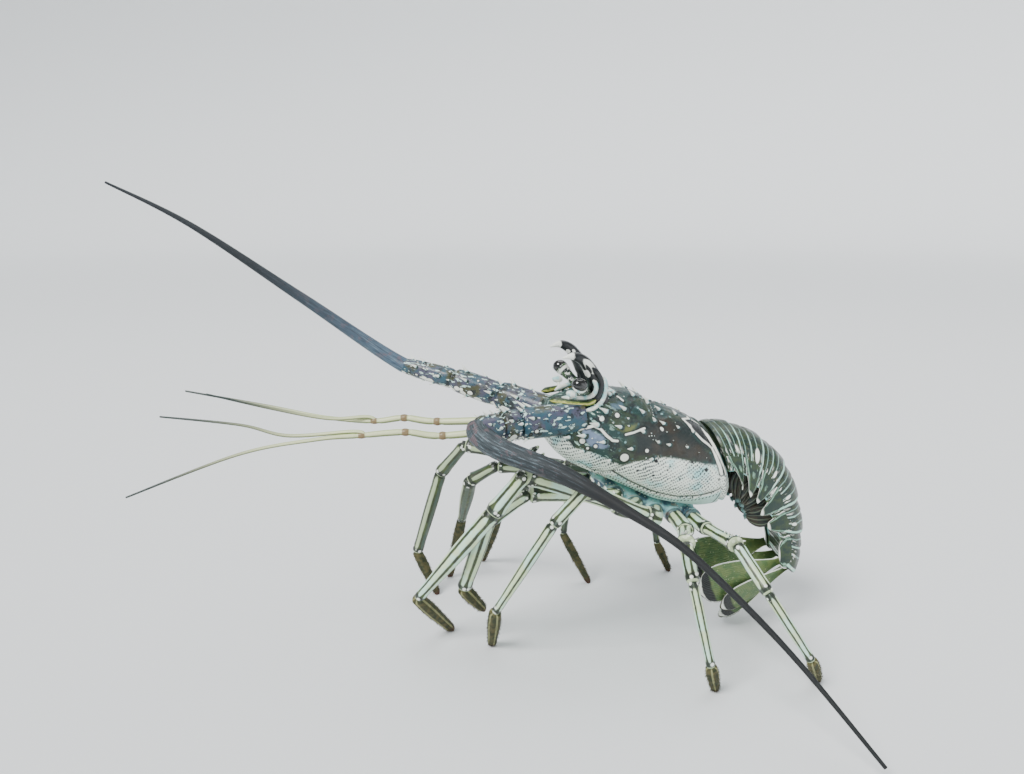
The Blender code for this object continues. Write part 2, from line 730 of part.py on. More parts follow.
def tail_frame(value):
    """Place, outward and crosswise directions and sizes at one position along the tail."""
    angle, reach, half, trunk, flank, yaw = value
    turn, swing = math.radians(angle), math.radians(yaw)
    outward = Vector((math.cos(turn) * math.cos(swing), math.cos(turn) * math.sin(swing), math.sin(turn)))
    across = Vector((-math.sin(swing), math.cos(swing), 0.0))
    return Vector(CURL_CENTRE) + outward * reach, outward, across, half, trunk, flank


def tail_ring(value, tooth, blend):
    """One cross-section of the tail: an arched back, flanks and a flat underside."""
    place, outward, across, half, trunk, flank = tail_frame(value)
    across = across.lerp(SIDE, blend).normalized()
    upper, lower = (body(*edge) for edge in SHELL_REAR)
    down = (-outward).lerp((lower - upper).normalized(), blend).normalized()
    flank = flank * (1 - tooth)
    outline = [(-y * half, d * trunk) for y, d in reversed(TAIL_BACK)]
    outline += [(y * half, d * trunk) for y, d in TAIL_BACK[1:]]
    outline += [(half * 0.98, flank), (half * 0.9, flank), (half * 0.84, trunk * 1.06)]
    outline += [(half * 0.4, trunk), (-half * 0.4, trunk), (-half * 0.84, trunk * 1.06)]
    outline += [(-half * 0.9, flank), (-half * 0.98, flank)]
    return [place + across * y + down * d for y, d in outline]


def build_tail(parts, pieces, shades):
    """Six segments with toothed flanks and swimmerets."""
    for number in range(6):
        first, last = TAIL[number], TAIL[number + 1]
        trim = math.degrees(GAP / 2 / TAIL_RADIUS)
        first = [first[0] - trim, *first[1:]]
        last = [last[0] + trim, *last[1:]]
        rings = []
        for step, lift in enumerate(TAIL_SWELL):
            t = step / (len(TAIL_SWELL) - 1)
            row = mix(first, last, t)
            row[1] += lift
            tooth = FLANK_TOOTH * (1 - math.sin(math.pi * min(1.0, t * 1.1)) ** 0.7)
            blend = 1 - t if number == 0 else 0
            rings.append(tail_ring(row, tooth, blend))
        extras = []
        if 0 < number < 5:
            row = mix(first, last, 0.5)
            place, outward, across, half, trunk, flank = tail_frame(row)
            long = SWIMMERET[0] * (row[1] - trunk)
            for side in (-1, 1):
                centre = place - outward * (trunk + long * SWIMMERET_DOWN)
                centre += across * side * half * SWIMMERET_OUT
                turn = Matrix((outward, across, outward.cross(across))).transposed().to_4x4()
                extras.append(ball(centre, (long, *SWIMMERET[1:]), turn, 10, 6))
        name = "tail_segment_%d" % (number + 1)
        fuse(loft(rings, "segment"), extras, name, parts, pieces, shades["shell"])


def lobe_ring(centre, wide, face, share):
    """One cross-section of a fan lobe, with grooves between its rays on both faces."""
    thick = FAN_THICK * (1 - FAN_TAPER * share)
    upper, lower = [], []
    for step in range(FAN_RAYS * 2 + 1):
        u = -1 + step / FAN_RAYS
        lift = thick * (FAN_EDGE + (1 - FAN_EDGE) * math.sqrt(1 - u * u))
        lift *= 1.0 if step % 2 else FAN_GROOVE
        upper.append(centre + wide * u + face * lift)
        lower.append(centre + wide * u - face * lift)
    return upper + lower[::-1]


def build_fan(parts, shade):
    """Tail fan of a middle lobe and two lobes at each side."""
    place, outward, across, half, trunk, flank = tail_frame(TAIL[-1])
    forward = Vector(FAN_DIRECTION).normalized()
    inner = forward.cross(across).normalized()
    if inner.dot(outward) > 0:
        inner = -inner
    for label, (length, width, splay, turn, root, lift) in FAN_LOBES.items():
        angle = math.radians(turn)
        wide = across * math.cos(angle) + inner * abs(math.sin(angle)) * (1 if turn >= 0 else -1)
        face = forward.cross(wide).normalized()
        lean = math.radians(splay)
        way = (forward * math.cos(lean) + wide * math.sin(lean)).normalized()
        wide = face.cross(way).normalized()
        start = place - outward * (FAN_ROOT + lift) + across * root + forward * FAN_CLEAR
        rings = [lobe_ring(start + way * length * share, wide * width * spread, face, share)
                 for share, spread in FAN_OUTLINE]
        name = label if label == "telson" else "fan_" + label
        finish(loft(rings, "lobe"), name, parts, shade)


def build():
    """Make every named part of the animal."""
    parts, pieces = start_scene()
    shades = {
        "shell": material("shell", (0.10, 0.14, 0.10), 0.45),
        "limb": material("limb", (0.42, 0.48, 0.30), 0.5),
        "foot": material("foot", (0.14, 0.12, 0.07), 0.8),
        "horn": material("horn", (0.05, 0.05, 0.06), 0.35),
        "eye": material("eye", (0.01, 0.01, 0.015), 0.08),
        "feeler": material("feeler", (0.10, 0.12, 0.15), 0.55),
        "pale": material("pale", (0.72, 0.70, 0.52), 0.5),
        "belly": material("belly", (0.60, 0.66, 0.60), 0.5),
        "fan": material("fan", (0.16, 0.20, 0.09), 0.5),
    }
    build_shell(parts, pieces, shades["shell"])
    build_head(parts, pieces, shades)
    build_feelers(parts, pieces, shades)
    build_sternum(parts, pieces, shades["belly"])
    build_legs(parts, pieces, (shades["limb"], shades["foot"]))
    build_tail(parts, pieces, shades)
    build_fan(parts, shades["fan"])
    bpy.data.collections.remove(pieces)


build()
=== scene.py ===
import math

import bpy
import numpy as np
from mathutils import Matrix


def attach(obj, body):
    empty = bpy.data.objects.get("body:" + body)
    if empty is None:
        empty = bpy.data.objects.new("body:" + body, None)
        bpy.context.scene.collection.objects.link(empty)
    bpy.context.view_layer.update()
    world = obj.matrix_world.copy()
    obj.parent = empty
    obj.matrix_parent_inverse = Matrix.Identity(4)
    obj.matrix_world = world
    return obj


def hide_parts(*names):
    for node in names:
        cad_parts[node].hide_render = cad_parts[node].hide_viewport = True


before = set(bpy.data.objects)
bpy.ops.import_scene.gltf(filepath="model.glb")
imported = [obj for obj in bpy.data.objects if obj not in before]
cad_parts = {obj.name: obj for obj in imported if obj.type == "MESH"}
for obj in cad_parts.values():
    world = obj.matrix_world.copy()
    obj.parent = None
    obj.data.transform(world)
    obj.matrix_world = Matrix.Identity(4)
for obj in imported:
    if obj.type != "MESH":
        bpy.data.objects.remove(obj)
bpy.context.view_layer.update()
print("solids loaded:", len(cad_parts))

# all sizes below are millimetres in the part's own frame, before its centring
mm = 0.001
centreShift = np.array((47.8, 38.6, 0.0))
chance = np.random.default_rng(11)
creaseAngle = 62  # degrees; flatter edges than this are shaded smooth

stance = {
    "front": (54.7, -25.5, 209.5),  # front of the shell's back
    "pitch": 13.0,
    "yaw": 15.0,
    "roll": 6.0,
}


def bodyAxes():
    pitch, yaw, roll = (math.radians(stance[key]) for key in ("pitch", "yaw", "roll"))
    along = np.array((math.cos(yaw) * math.cos(pitch), math.sin(yaw) * math.cos(pitch), -math.sin(pitch)))
    across = np.array((-math.sin(yaw), math.cos(yaw), 0.0))
    upward = np.cross(along, across)
    side = across * math.cos(roll) + upward * math.sin(roll)
    return along, side, upward * math.cos(roll) - across * math.sin(roll)


tailward, rightward, skyward = bodyAxes()


def onBody(x, y, z):
    x, y, z = np.broadcast_arrays(np.asarray(x, float), y, z)
    front = np.array(stance["front"])
    return front + x[..., None] * tailward + y[..., None] * rightward + z[..., None] * skyward


def unit(v):
    return v / np.maximum(np.linalg.norm(v, axis=-1, keepdims=True), 1e-9)


def soft(value, start, end):
    share = np.clip((value - start) / (end - start), 0, 1)
    return share * share * (3 - 2 * share)


def curveRow(rows, at):
    # smooth line through rows of numbers, read at fractional places
    rows = np.asarray(rows, float)
    last = len(rows) - 1
    at = np.clip(np.asarray(at, float), 0, last - 1e-9)
    low = at.astype(int)
    t = (at - low)[..., None]
    p, q = rows[np.maximum(low - 1, 0)], rows[low]
    r, s = rows[low + 1], rows[np.minimum(low + 2, last)]
    bow, twist = 2 * p - 5 * q + 4 * r - s, 3 * q - p - 3 * r + s
    return 0.5 * (2 * q + (r - p) * t + bow * t ** 2 + twist * t ** 3)


def smoothLine(rows, step):
    # even steps along the smooth line; the first three columns are the place
    fine = curveRow(rows, np.linspace(0, len(rows) - 1, 24 * (len(rows) - 1) + 1))
    run = np.concatenate(([0], np.cumsum(np.linalg.norm(np.diff(fine[:, :3], axis=0), axis=1))))
    at = np.linspace(0, run[-1], max(3, int(round(run[-1] / step)) + 1))
    return np.stack([np.interp(at, run, fine[:, k]) for k in range(fine.shape[1])], 1), at


def nearestTo(line, place):
    return np.argmin(np.linalg.norm(line[:, :3] - np.array(place), axis=1))


def carry(path, hint=(0, 0, 1)):
    # directions square to a path, carried along it without twist
    ways = unit(np.gradient(path, axis=0))
    flats = np.zeros_like(ways)
    flat = np.cross(ways[0], hint)
    for i, way in enumerate(ways):
        flat = unit(flat - way * np.dot(flat, way))
        flats[i] = flat
    return ways, flats, np.cross(flats, ways)


def gridFaces(rows, cols, first=0):
    r, c = np.arange(rows - 1)[:, None], np.arange(cols)[None, :]
    a, b = r * cols + c, r * cols + (c + 1) % cols
    return (first + np.stack((a, b, b + cols, a + cols), -1)).reshape(-1, 4)


class Pile:
    # meshes that are gathered and joined into one piece
    def __init__(self):
        self.points, self.faces, self.facts, self.count = [], [], {}, 0

    def add(self, points, faces, facts):
        points = np.asarray(points, float).reshape(-1, 3)
        for name, value in facts.items():
            fact = self.facts.setdefault(name, [np.zeros(self.count)] if self.count else [])
            fact.append(np.broadcast_to(np.asarray(value, float).ravel(), (len(points),)))
        for name, fact in self.facts.items():
            if name not in facts:
                fact.append(np.zeros(len(points)))
        self.points.append(points)
        self.faces.extend(faces)
        self.count += len(points)

    def loft(self, rings, **facts):
        # a closed skin through rings of points, with a fan of triangles at both ends
        rows, cols = rings.shape[:2]
        points = rings.reshape(-1, 3)
        faces = gridFaces(rows, cols, self.count)
        a, b, c, d = (points[faces[:, k] - self.count] for k in range(4))
        middle = points.mean(0)
        solid = (np.cross(a - middle, b - middle) * (c - middle)).sum() + (
            np.cross(a - middle, c - middle) * (d - middle)).sum()
        faces = faces.tolist()
        full = {k: np.broadcast_to(v, (rows, cols)).astype(float) for k, v in facts.items()}
        points = np.concatenate((points, (rings[0].mean(0), rings[-1].mean(0))))
        start, end = self.count + rows * cols, self.count + rows * cols + 1
        last = self.count + (rows - 1) * cols
        for i in range(cols):
            j = (i + 1) % cols
            faces.append([start, self.count + j, self.count + i])
            faces.append([end, last + i, last + j])
        full = {k: np.concatenate((v.ravel(), (v[0].mean(), v[-1].mean()))) for k, v in full.items()}
        if solid < 0:
            faces = [face[::-1] for face in faces]
        self.add(points, faces, full)

    def make(self, name, finish, nodes, slot, coatMap=False):
        mesh = bpy.data.meshes.new(name)
        points = (np.concatenate(self.points) + centreShift) * mm
        points[:, 2] = np.maximum(points[:, 2], 0)  # nothing reaches below the floor
        mesh.from_pydata(points.tolist(), [], self.faces)
        for fact, values in self.facts.items():
            layer = mesh.attributes.new(fact, "FLOAT", "POINT")
            layer.data.foreach_set("value", np.concatenate(values).astype(np.float32))
        if coatMap:
            corner = np.zeros(len(mesh.loops), int)
            mesh.loops.foreach_get("vertex_index", corner)
            spread = np.stack([np.concatenate(self.facts[k]) for k in ("mapU", "mapV")], 1)[corner]
            mesh.uv_layers.new(name="OFBake").data.foreach_set("uv", spread.astype(np.float32).ravel())
        mesh.shade_smooth()
        mesh.set_sharp_from_angle(angle=math.radians(creaseAngle))
        mesh.materials.append(finish)
        made = bpy.data.objects.new(name, mesh)
        bpy.context.scene.collection.objects.link(made)
        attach(made, "root")
        if nodes:
            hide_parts(*nodes)


def tubeRings(line, radius, sides, hint=(0, 0, 1), domes=(0.0, 0.0), shape=None):
    # rings of a tube; domes are how far its rounded ends stand out
    angle = np.arange(sides) * 2 * math.pi / sides
    ways, flats, aboves = carry(line, hint)
    radius = np.asarray(radius, float).reshape(-1, 1) * np.ones((1, sides))
    if shape is not None:
        radius = radius * shape
    ring = flats[:, None] * np.cos(angle)[None, :, None] + aboves[:, None] * np.sin(angle)[None, :, None]
    rings = line[:, None] + ring * radius[..., None]
    run = np.concatenate(([0], np.cumsum(np.linalg.norm(np.diff(line, axis=0), axis=1))))
    for end, dome in enumerate(domes):
        if not dome:
            continue
        extra, runs = [], []
        k = -1 if end else 0
        for turn in np.radians((30, 55, 75, 88)):
            out, keep = math.sin(turn), math.cos(turn)
            way = ways[k] * (dome * out) * (1 if end else -1)
            extra.append(line[k] + way + ring[k] * (radius[k] * keep)[:, None])
            runs.append(run[k])
        if end:
            rings, run = np.concatenate((rings, extra)), np.concatenate((run, runs))
        else:
            rings, run = np.concatenate((extra[::-1], rings)), np.concatenate((runs, run))
    rows = len(run)
    facts = {
        "cosine": np.tile(np.cos(angle), (rows, 1)),
        "sine": np.tile(np.sin(angle), (rows, 1)),
        "run": np.tile(run[:, None], (1, sides)),
        "share": np.tile(run[:, None] / run[-1], (1, sides)),
    }
    return rings, facts


def addSpine(pile, base, way, length, radius, bend=(0, 0, 0), sides=9, rows=8):
    # a spine with a flared root, bending towards its tip
    t = np.linspace(0, 1, rows)
    way, bend = unit(np.asarray(way, float)), np.asarray(bend, float)
    root = np.asarray(base, float) - way * radius * 0.6
    full = length + radius * 0.6
    line = root + way * full * t[:, None] + bend * length * (t ** 2)[:, None]
    thick = radius * (0.9 * (1 - t) ** 0.85 + 0.35 * np.exp(-t * 9)) + 0.03 * radius
    pile.loft(tubeRings(line, thick, sides, hint=(0.3, 0.5, 0.8))[0], tip=t[:, None])


def addBall(pile, centre, size, axes):
    # a ball of three half sizes, along three directions
    rows, cols = 12, 18
    tilt = np.linspace(0.06, math.pi - 0.06, rows)[:, None]
    turn = (np.arange(cols) * 2 * math.pi / cols)[None, :]
    wide = np.sin(tilt)
    spread = np.stack((np.cos(tilt) + turn * 0, wide * np.cos(turn), wide * np.sin(turn)), -1)
    pile.loft(np.asarray(centre) + (spread * np.asarray(size)) @ np.asarray(axes))


def addHairs(pile, roots, ways, lengths, width, bends, places):
    # thin three-sided hairs, each with its own small patch on the coat map
    count = len(roots)
    t = np.array((0.0, 0.45, 0.8))
    flat = unit(np.cross(ways, (0.31, 0.52, 0.79)))
    above = np.cross(flat, ways)
    line = (roots[:, None] + ways[:, None] * (lengths[:, None] * t)[..., None]
            + bends[:, None] * (lengths[:, None] * t ** 2)[..., None])
    turn = np.arange(3) * 2 * math.pi / 3
    ring = flat[:, None] * np.cos(turn)[None, :, None] + above[:, None] * np.sin(turn)[None, :, None]
    thick = width * np.array((1.0, 0.75, 0.4))
    points = line[:, :, None] + ring[:, None] * thick[:, None, None]
    tips = roots + ways * lengths[:, None] + bends * lengths[:, None]
    points = np.concatenate((points.reshape(count, 9, 3), tips[:, None]), 1)
    pattern = []
    for row in (0, 3):
        for k in range(3):
            j = (k + 1) % 3
            pattern.append((row + k, row + j, row + 3 + j, row + 3 + k))
    closing = [(6, 7, 9), (7, 8, 9), (8, 6, 9), (2, 1, 0)]
    starts = pile.count + np.arange(count)[:, None, None] * 10
    faces = (starts + np.array(pattern)).reshape(-1, 4).tolist()
    faces += (starts + np.array(closing)).reshape(-1, 3).tolist()
    rise = np.tile(np.array((0, 0, 0, 0.45, 0.45, 0.45, 0.8, 0.8, 0.8, 1.0)), (count, 1))
    around = np.tile(np.array((0, 1, 2, 0, 1, 2, 0, 1, 2, 1)) * 0.0012, (count, 1))
    pile.add(points, faces, {"tip": rise, "mapU": places[:, :1] + around,
                             "mapV": places[:, 1:] + rise * 0.003})


class Reading:
    # a value in a material's nodes that takes plain arithmetic
    def __init__(self, finish, socket):
        self.finish, self.socket = finish, socket

    def __add__(self, other):
        return self.finish.calc("ADD", self, other)

    def __sub__(self, other):
        return self.finish.calc("SUBTRACT", self, other)

    def __rsub__(self, other):
        return self.finish.calc("SUBTRACT", other, self)

    def __mul__(self, other):
        return self.finish.calc("MULTIPLY", self, other)

    def __truediv__(self, other):
        return self.finish.calc("DIVIDE", self, other)

    def __pow__(self, other):
        return self.finish.calc("POWER", self, other)

    def __abs__(self):
        return self.finish.calc("ABSOLUTE", self)


class Finish:
    # short words for building one material from nodes
    def __init__(self, name, rough=0.5, coat=0.0, coatRough=0.2):
        self.base = None
        self.material = bpy.data.materials.new(name)
        self.material.use_nodes = True
        self.nodes, self.links = self.material.node_tree.nodes, self.material.node_tree.links
        self.shader = self.nodes["Principled BSDF"]
        self.shader.inputs["Roughness"].default_value = rough
        self.shader.inputs["Coat Weight"].default_value = coat
        self.shader.inputs["Coat Roughness"].default_value = coatRough

    def plug(self, value, socket):
        if isinstance(value, Reading):
            self.links.new(value.socket, socket)
        else:
            socket.default_value = value

    def fact(self, name):
        node = self.nodes.new("ShaderNodeAttribute")
        node.attribute_name = name
        return Reading(self, node.outputs["Fac"])

    def calc(self, operation, a, b=0.0):
        node = self.nodes.new("ShaderNodeMath")
        node.operation = operation
        self.plug(a, node.inputs[0])
        self.plug(b, node.inputs[1])
        return Reading(self, node.outputs[0])

    def fade(self, value, start, end, low=0.0, high=1.0):
        node = self.nodes.new("ShaderNodeMapRange")
        node.interpolation_type = "SMOOTHSTEP"
        for socket, given in zip(node.inputs[:5], (value, start, end, low, high)):
            self.plug(given, socket)
        return Reading(self, node.outputs[0])

    def mix(self, share, a, b):
        node = self.nodes.new("ShaderNodeMix")
        node.data_type = "RGBA"
        self.plug(share, node.inputs[0])
        self.plug(a, node.inputs[6])
        self.plug(b, node.inputs[7])
        return Reading(self, node.outputs[2])

    def spot(self):
        return Reading(self, self.nodes.new("ShaderNodeTexCoord").outputs["Object"])

    def vector(self, x, y, z=0.0):
        node = self.nodes.new("ShaderNodeCombineXYZ")
        for value, socket in zip((x, y, z), node.inputs):
            self.plug(value, socket)
        return Reading(self, node.outputs[0])

    def noise(self, scale, detail=3.0, at=None, rough=0.55):
        node = self.nodes.new("ShaderNodeTexNoise")
        node.inputs["Scale"].default_value = scale
        node.inputs["Detail"].default_value = detail
        node.inputs["Roughness"].default_value = rough
        self.plug(at or self.spot(), node.inputs["Vector"])
        return Reading(self, node.outputs["Fac"])

    def cells(self, scale, at=None, loose=1.0):
        node = self.nodes.new("ShaderNodeTexVoronoi")
        node.inputs["Scale"].default_value = scale
        node.inputs["Randomness"].default_value = loose
        self.plug(at or self.spot(), node.inputs["Vector"])
        return Reading(self, node.outputs["Distance"])

    def oval(self, across, along, middle, size, soft=0.12):
        # 1 inside an oval of two readings, 0 outside
        first = ((across - middle[0]) / size[0]) ** 2.0
        second = ((along - middle[1]) / size[1]) ** 2.0
        return self.fade(self.calc("SQRT", first + second), 1.0 + soft, 1.0 - soft)

    def relief(self, height, depth, strength=1.0):
        node = self.nodes.new("ShaderNodeBump")
        node.inputs["Distance"].default_value = depth * mm
        node.inputs["Strength"].default_value = strength
        self.plug(height, node.inputs["Height"])
        self.links.new(node.outputs[0], self.shader.inputs["Normal"])

    def lay(self, colour, share=None):
        # one more layer of colour over what is there
        self.base = colour if share is None else self.mix(share, self.base, colour)

    def done(self, rough=None, colour=None):
        self.plug(self.base if colour is None else colour, self.shader.inputs["Base Color"])
        if rough is not None:
            self.plug(rough, self.shader.inputs["Roughness"])
        return self.material


def tone(red, green, blue):
    # a colour as the eye reads it, turned to the renderer's scale
    parts = [((c + 0.055) / 1.055) ** 2.4 if c > 0.04 else c / 12.92 for c in (red, green, blue)]
    return (*parts, 1.0)


palette = {
    "slate": tone(0.11, 0.235, 0.225),
    "deep": tone(0.04, 0.09, 0.11),
    "olive": tone(0.42, 0.45, 0.24),
    "darkOlive": tone(0.17, 0.20, 0.11),
    "aqua": tone(0.66, 0.87, 0.87),
    "milk": tone(0.97, 0.98, 0.94),
    "lavender": tone(0.48, 0.55, 0.66),
    "steel": tone(0.33, 0.43, 0.50),
    "leaf": tone(0.83, 0.90, 0.72),
    "ink": tone(0.03, 0.05, 0.06),
    "cream": tone(0.86, 0.88, 0.70),
}

shell = {
    # along, top, bottom, half width, slant of each cross-section
    "stations": (
        (-25, -15, -39, 17, 0.0), (-18, -11, -47, 24, 0.0), (-7, -5, -53, 29, 0.0),
        (4, 1, -57, 32, 0.03), (20, 3, -61, 35, 0.08), (38, 4, -66, 37, 0.14),
        (50, 1, -70, 38, 0.2), (57, -4, -72, 38, 0.25), (66, -2.5, -72.5, 39, 0.3),
        (82, -5, -72, 39, 0.41), (96, -8.5, -68, 37, 0.51), (99, -10.6, -65.5, 35.6, 0.54),
        (102, -9.6, -65, 35.8, 0.56), (108.5, -13, -59, 32, 0.58),
    ),
    "wrap": 146.0,
    "rows": 200,
    "columns": 230,
    "squareness": 0.78,
    "shoulder": 0.92,
    # relief: height and softness of the grooves, raised lines, raised spots and the neck groove
    "groove": (1.1, 1.3),
    "raisedLine": (0.5, 1.2),
    "raisedSpot": (0.5, 1.4),
    "neck": (0.9, 3.2),
    "neckAt": 57,
    # the paired grooves beside the ridge: height, softness, distance from the ridge
    "paired": (0.5, 1.6, 7.5),
    "lumps": 230,
    "lumpHeight": 0.55,
}


def shellPlace(station, angle):
    # body-frame place of a point on the shell
    x, top, bottom, half, slant = np.moveaxis(curveRow(shell["stations"], station), -1, 0)
    turn, wrap = np.radians(angle), math.radians(shell["wrap"])
    full = ((1 - math.cos(wrap)) / 2) ** shell["shoulder"]
    drop = ((1 - np.cos(turn)) / 2) ** shell["shoulder"] / full
    out = np.sign(turn) * np.abs(np.sin(turn)) ** shell["squareness"]
    depth = top - bottom
    return np.stack((x + slant * depth * drop, out * half, top - depth * drop), -1)


def shellNormal(station, angle):
    ahead = shellPlace(station + 0.1, angle) - shellPlace(station - 0.1, angle)
    around = shellPlace(station, angle + 2) - shellPlace(station, angle - 2)
    normal = unit(np.cross(ahead, around))
    outward = shellPlace(station, angle) - np.array((50.0, 0.0, -36.0))
    return normal * np.sign((normal * outward).sum(-1, keepdims=True) + 1e-9)


# lines and spots on the shell as x and z in the body frame, seen from the side
shellLines = {
    "whiteLines": (
        (0.9, ((-9.5, -13.7), (-6.8, -16.1), (-6, -20), (-6, -23.5))),
        (1.0, ((-0.6, -23.2), (4.4, -20.9), (10.3, -22.3), (15.6, -25.6), (20.8, -28.4), (24.6, -27.7))),
        (0.7, ((-17, -17.7), (-12.7, -20))),
        (1.2, ((81.5, -7.3), (88.6, -13), (96.2, -17.7), (105, -22.1), (109, -27.5), (114, -34),
               (117, -40))),
        (1.1, ((81.5, -7.3), (90, -7.4), (99, -11.5), (104, -15.8), (109.5, -23.5), (115, -31),
               (121, -40))),
        (0.8, ((23.8, 1.0), (27.2, -0.8))),
        (0.8, ((30, -21.8), (36.6, -19.5), (44.6, -15.2))),
    ),
    "whiteSpots": (
        (3.2, (33.3, -39.0)), (1.9, (10.3, -14.5)), (2.1, (-1.1, -33.5)), (1.4, (9.4, -35.1)),
        (1.7, (-2.6, -16.0)), (1.5, (-24.4, -24.1)), (1.5, (-22.0, -27.8)), (1.3, (-19, -33)),
        (1.7, (22.0, -10.0)), (1.8, (60, -14.8)), (1.4, (49.2, -31.1)), (1.1, (4, -38)),
    ),
    "darkSpots": (
        (1.5, (58.7, -37.1)), (1.1, (60.3, -49.3)), (0.9, (81.4, -48.4)), (1.7, (102, -38.1)),
        (1.3, (115.9, -44.6)), (1.0, (47, -48.3)), (1.2, (87.7, -33.6)), (1.0, (104.5, -30.5)),
        (0.8, (98.8, -50.7)), (0.9, (70, -43)), (0.8, (92, -45)),
    ),
    "darkLines": (
        (0.45, ((3.3, -52.5), (15.7, -58), (23.4, -57.0), (30.3, -52.8), (34.8, -47.1), (40, -43))),
        (0.8, ((30, -54), (45, -60), (66, -65), (88, -66), (102, -62), (113, -57), (121, -52))),
    ),
}
# coloured areas of the shell, as outlines in the same view
shellAreas = {
    "flank": ((-30, -33), (-13, -34), (-6, -40), (1, -40.5), (12, -41), (26, -45), (34.8, -46),
              (42, -41.5), (54.6, -35.8), (72, -32.4), (89, -33.4), (105, -33.3), (130, -34.5),
              (140, -90), (-30, -90)),
    "saddle": ((36, -21), (41, -11), (52, -9), (66, -7), (82, -8), (92, -17), (104, -27), (107, -32),
               (88, -32), (54, -34), (42, -38)),
    "cheek": ((-3, -25), (3, -23), (12, -26), (18, -30), (19, -35), (8, -37), (-2, -33)),
    "oliveSpot": ((22, -19.5), (31, -15.5), (39, -12), (37, -18), (29, -21)),
    "greySpot": ((16, -3.5), (26, -1.5), (28, -5.5), (19, -7.5)),
    "collar": ((82, -7.5), (89, -12.5), (96.5, -17), (105, -21.5), (109.5, -27), (114.5, -33.5),
               (118, -40), (121, -40), (115, -31), (109.5, -23.5), (104, -15.8), (99, -11.5),
               (90, -7.6)),
    "hem": ((28, -57), (45, -62.5), (66, -67.5), (88, -68.5), (102, -64.5), (113, -59.5), (124, -54),
            (124, -80), (28, -80)),
}


def outlineDistance(x, z, outline):
    # distance to an outline, below nought inside it
    corners = np.array(outline, float)
    best = np.full(x.shape, 1e9)
    inside = np.zeros(x.shape, bool)
    for (ax, az), (bx, bz) in zip(corners, np.roll(corners, -1, 0)):
        ex, ez = bx - ax, bz - az
        t = np.clip(((x - ax) * ex + (z - az) * ez) / (ex * ex + ez * ez), 0, 1)
        best = np.minimum(best, np.hypot(x - ax - t * ex, z - az - t * ez))
        if az != bz:
            crosses = ((az > z) != (bz > z)) & (x < ex * (z - az) / ez + ax)
            inside ^= crosses
    return np.where(inside, -best, best)


def lineDistance(places, line):
    best = np.full(places.shape[:-1], 1e9)
    for a, b in zip(line, line[1:]):
        way = b - a
        t = np.clip(((places - a) @ way) / max(way @ way, 1e-9), 0, 1)
        best = np.minimum(best, np.linalg.norm(places - a - t[..., None] * way, axis=-1))
    return best


def makeShell(finish):
    fine = np.linspace(0, len(shell["stations"]) - 1, 900)
    ridge = curveRow(shell["stations"], fine)[:, 0]
    station = np.interp(np.linspace(ridge[0], ridge[-1], shell["rows"]), ridge, fine)[:, None]
    angle = np.linspace(-shell["wrap"], shell["wrap"], shell["columns"])[None, :]
    station, angle = np.broadcast_arrays(station, angle)
    place = shellPlace(station, angle)
    normal = shellNormal(station, angle)
    x, y, z = np.moveaxis(place, -1, 0)
    left = place[:, : shell["columns"] // 2].reshape(-1, 3)
    outer = 0.02 * np.abs(left[:, 1])

    def onSide(points):
        # the place on the left of the shell that shows at x and z
        points = np.atleast_2d(points)
        near = [np.argmin(np.hypot(left[:, 0] - a, left[:, 2] - b) + outer) for a, b in points]
        return left[near]

    mirror = place * np.array((1, -1, 1))
    facts = {}
    for name, marks in shellLines.items():
        field = np.full(x.shape, 30.0)
        for wide, points in marks:
            line = onSide(points)
            line = np.repeat(line, 2, 0) if len(line) == 1 else line
            for view in (place, mirror):
                field = np.minimum(field, lineDistance(view, line) - wide)
        facts[name] = field
    for name, outline in shellAreas.items():
        facts[name] = outlineDistance(x, z, outline)
    facts["lengthwise"] = x
    steps = np.diff(place, axis=1, prepend=place[:, :1])
    facts["girth"] = np.cumsum(np.linalg.norm(steps, axis=-1), axis=1)

    # relief: grooves, raised pale lines and spots, and low bumps
    def bell(distance, kind):
        return shell[kind][0] * np.exp(-(distance / shell[kind][1]) ** 2)

    away = np.abs(angle)
    height = -bell(facts["darkLines"] + 0.4, "groove")
    height += bell(facts["whiteLines"] + 0.6, "raisedLine")
    height += bell(np.maximum(facts["whiteSpots"], 0), "raisedSpot")
    height -= bell(x - shell["neckAt"] + 0.45 * np.maximum(away - 20, 0), "neck") * soft(away, 75, 40)
    height -= bell(np.abs(y) - shell["paired"][2], "paired") * soft(x, 60, 70) * soft(x, 97, 90)
    lumps = shell["lumps"]
    lumpStation = chance.uniform(1.6, 9.2, lumps)
    lumpAngle = chance.uniform(-88, 88, lumps)
    lumpPlace = shellPlace(lumpStation, lumpAngle)
    lumpSize = chance.uniform(0.8, 1.7, lumps)
    flat = place.reshape(-1, 3)
    rise = np.zeros(len(flat))
    for centre, size in zip(lumpPlace, lumpSize):
        near = np.abs(flat[:, 0] - centre[0]) < 5
        gap = np.linalg.norm(flat[near] - centre, axis=1)
        rise[near] = np.maximum(rise[near], shell["lumpHeight"] * size * np.exp(-(gap / size) ** 2))
    facts["lump"] = rise.reshape(x.shape)
    height += facts["lump"]
    rest = soft(away, shell["wrap"], shell["wrap"] - 4) * soft(station, 0, 0.5)
    pile = Pile()
    spread = place + normal * (height * rest)[..., None]
    pile.loft(onBody(*np.moveaxis(spread, -1, 0)), **facts)
    pile.make("shell_back", finish, ["carapace"], "shell")


shellTones = {
    "moss": tone(0.2, 0.25, 0.17),
    "fleck": tone(0.3, 0.44, 0.46),
    "dusk": tone(0.09, 0.14, 0.14),
    "umber": tone(0.2, 0.17, 0.13),
    "dash": tone(0.72, 0.86, 0.8),
    "flank": tone(0.96, 0.99, 0.95),
    "dot": tone(0.05, 0.16, 0.19),
    "hem": tone(0.8, 0.93, 0.9),
}


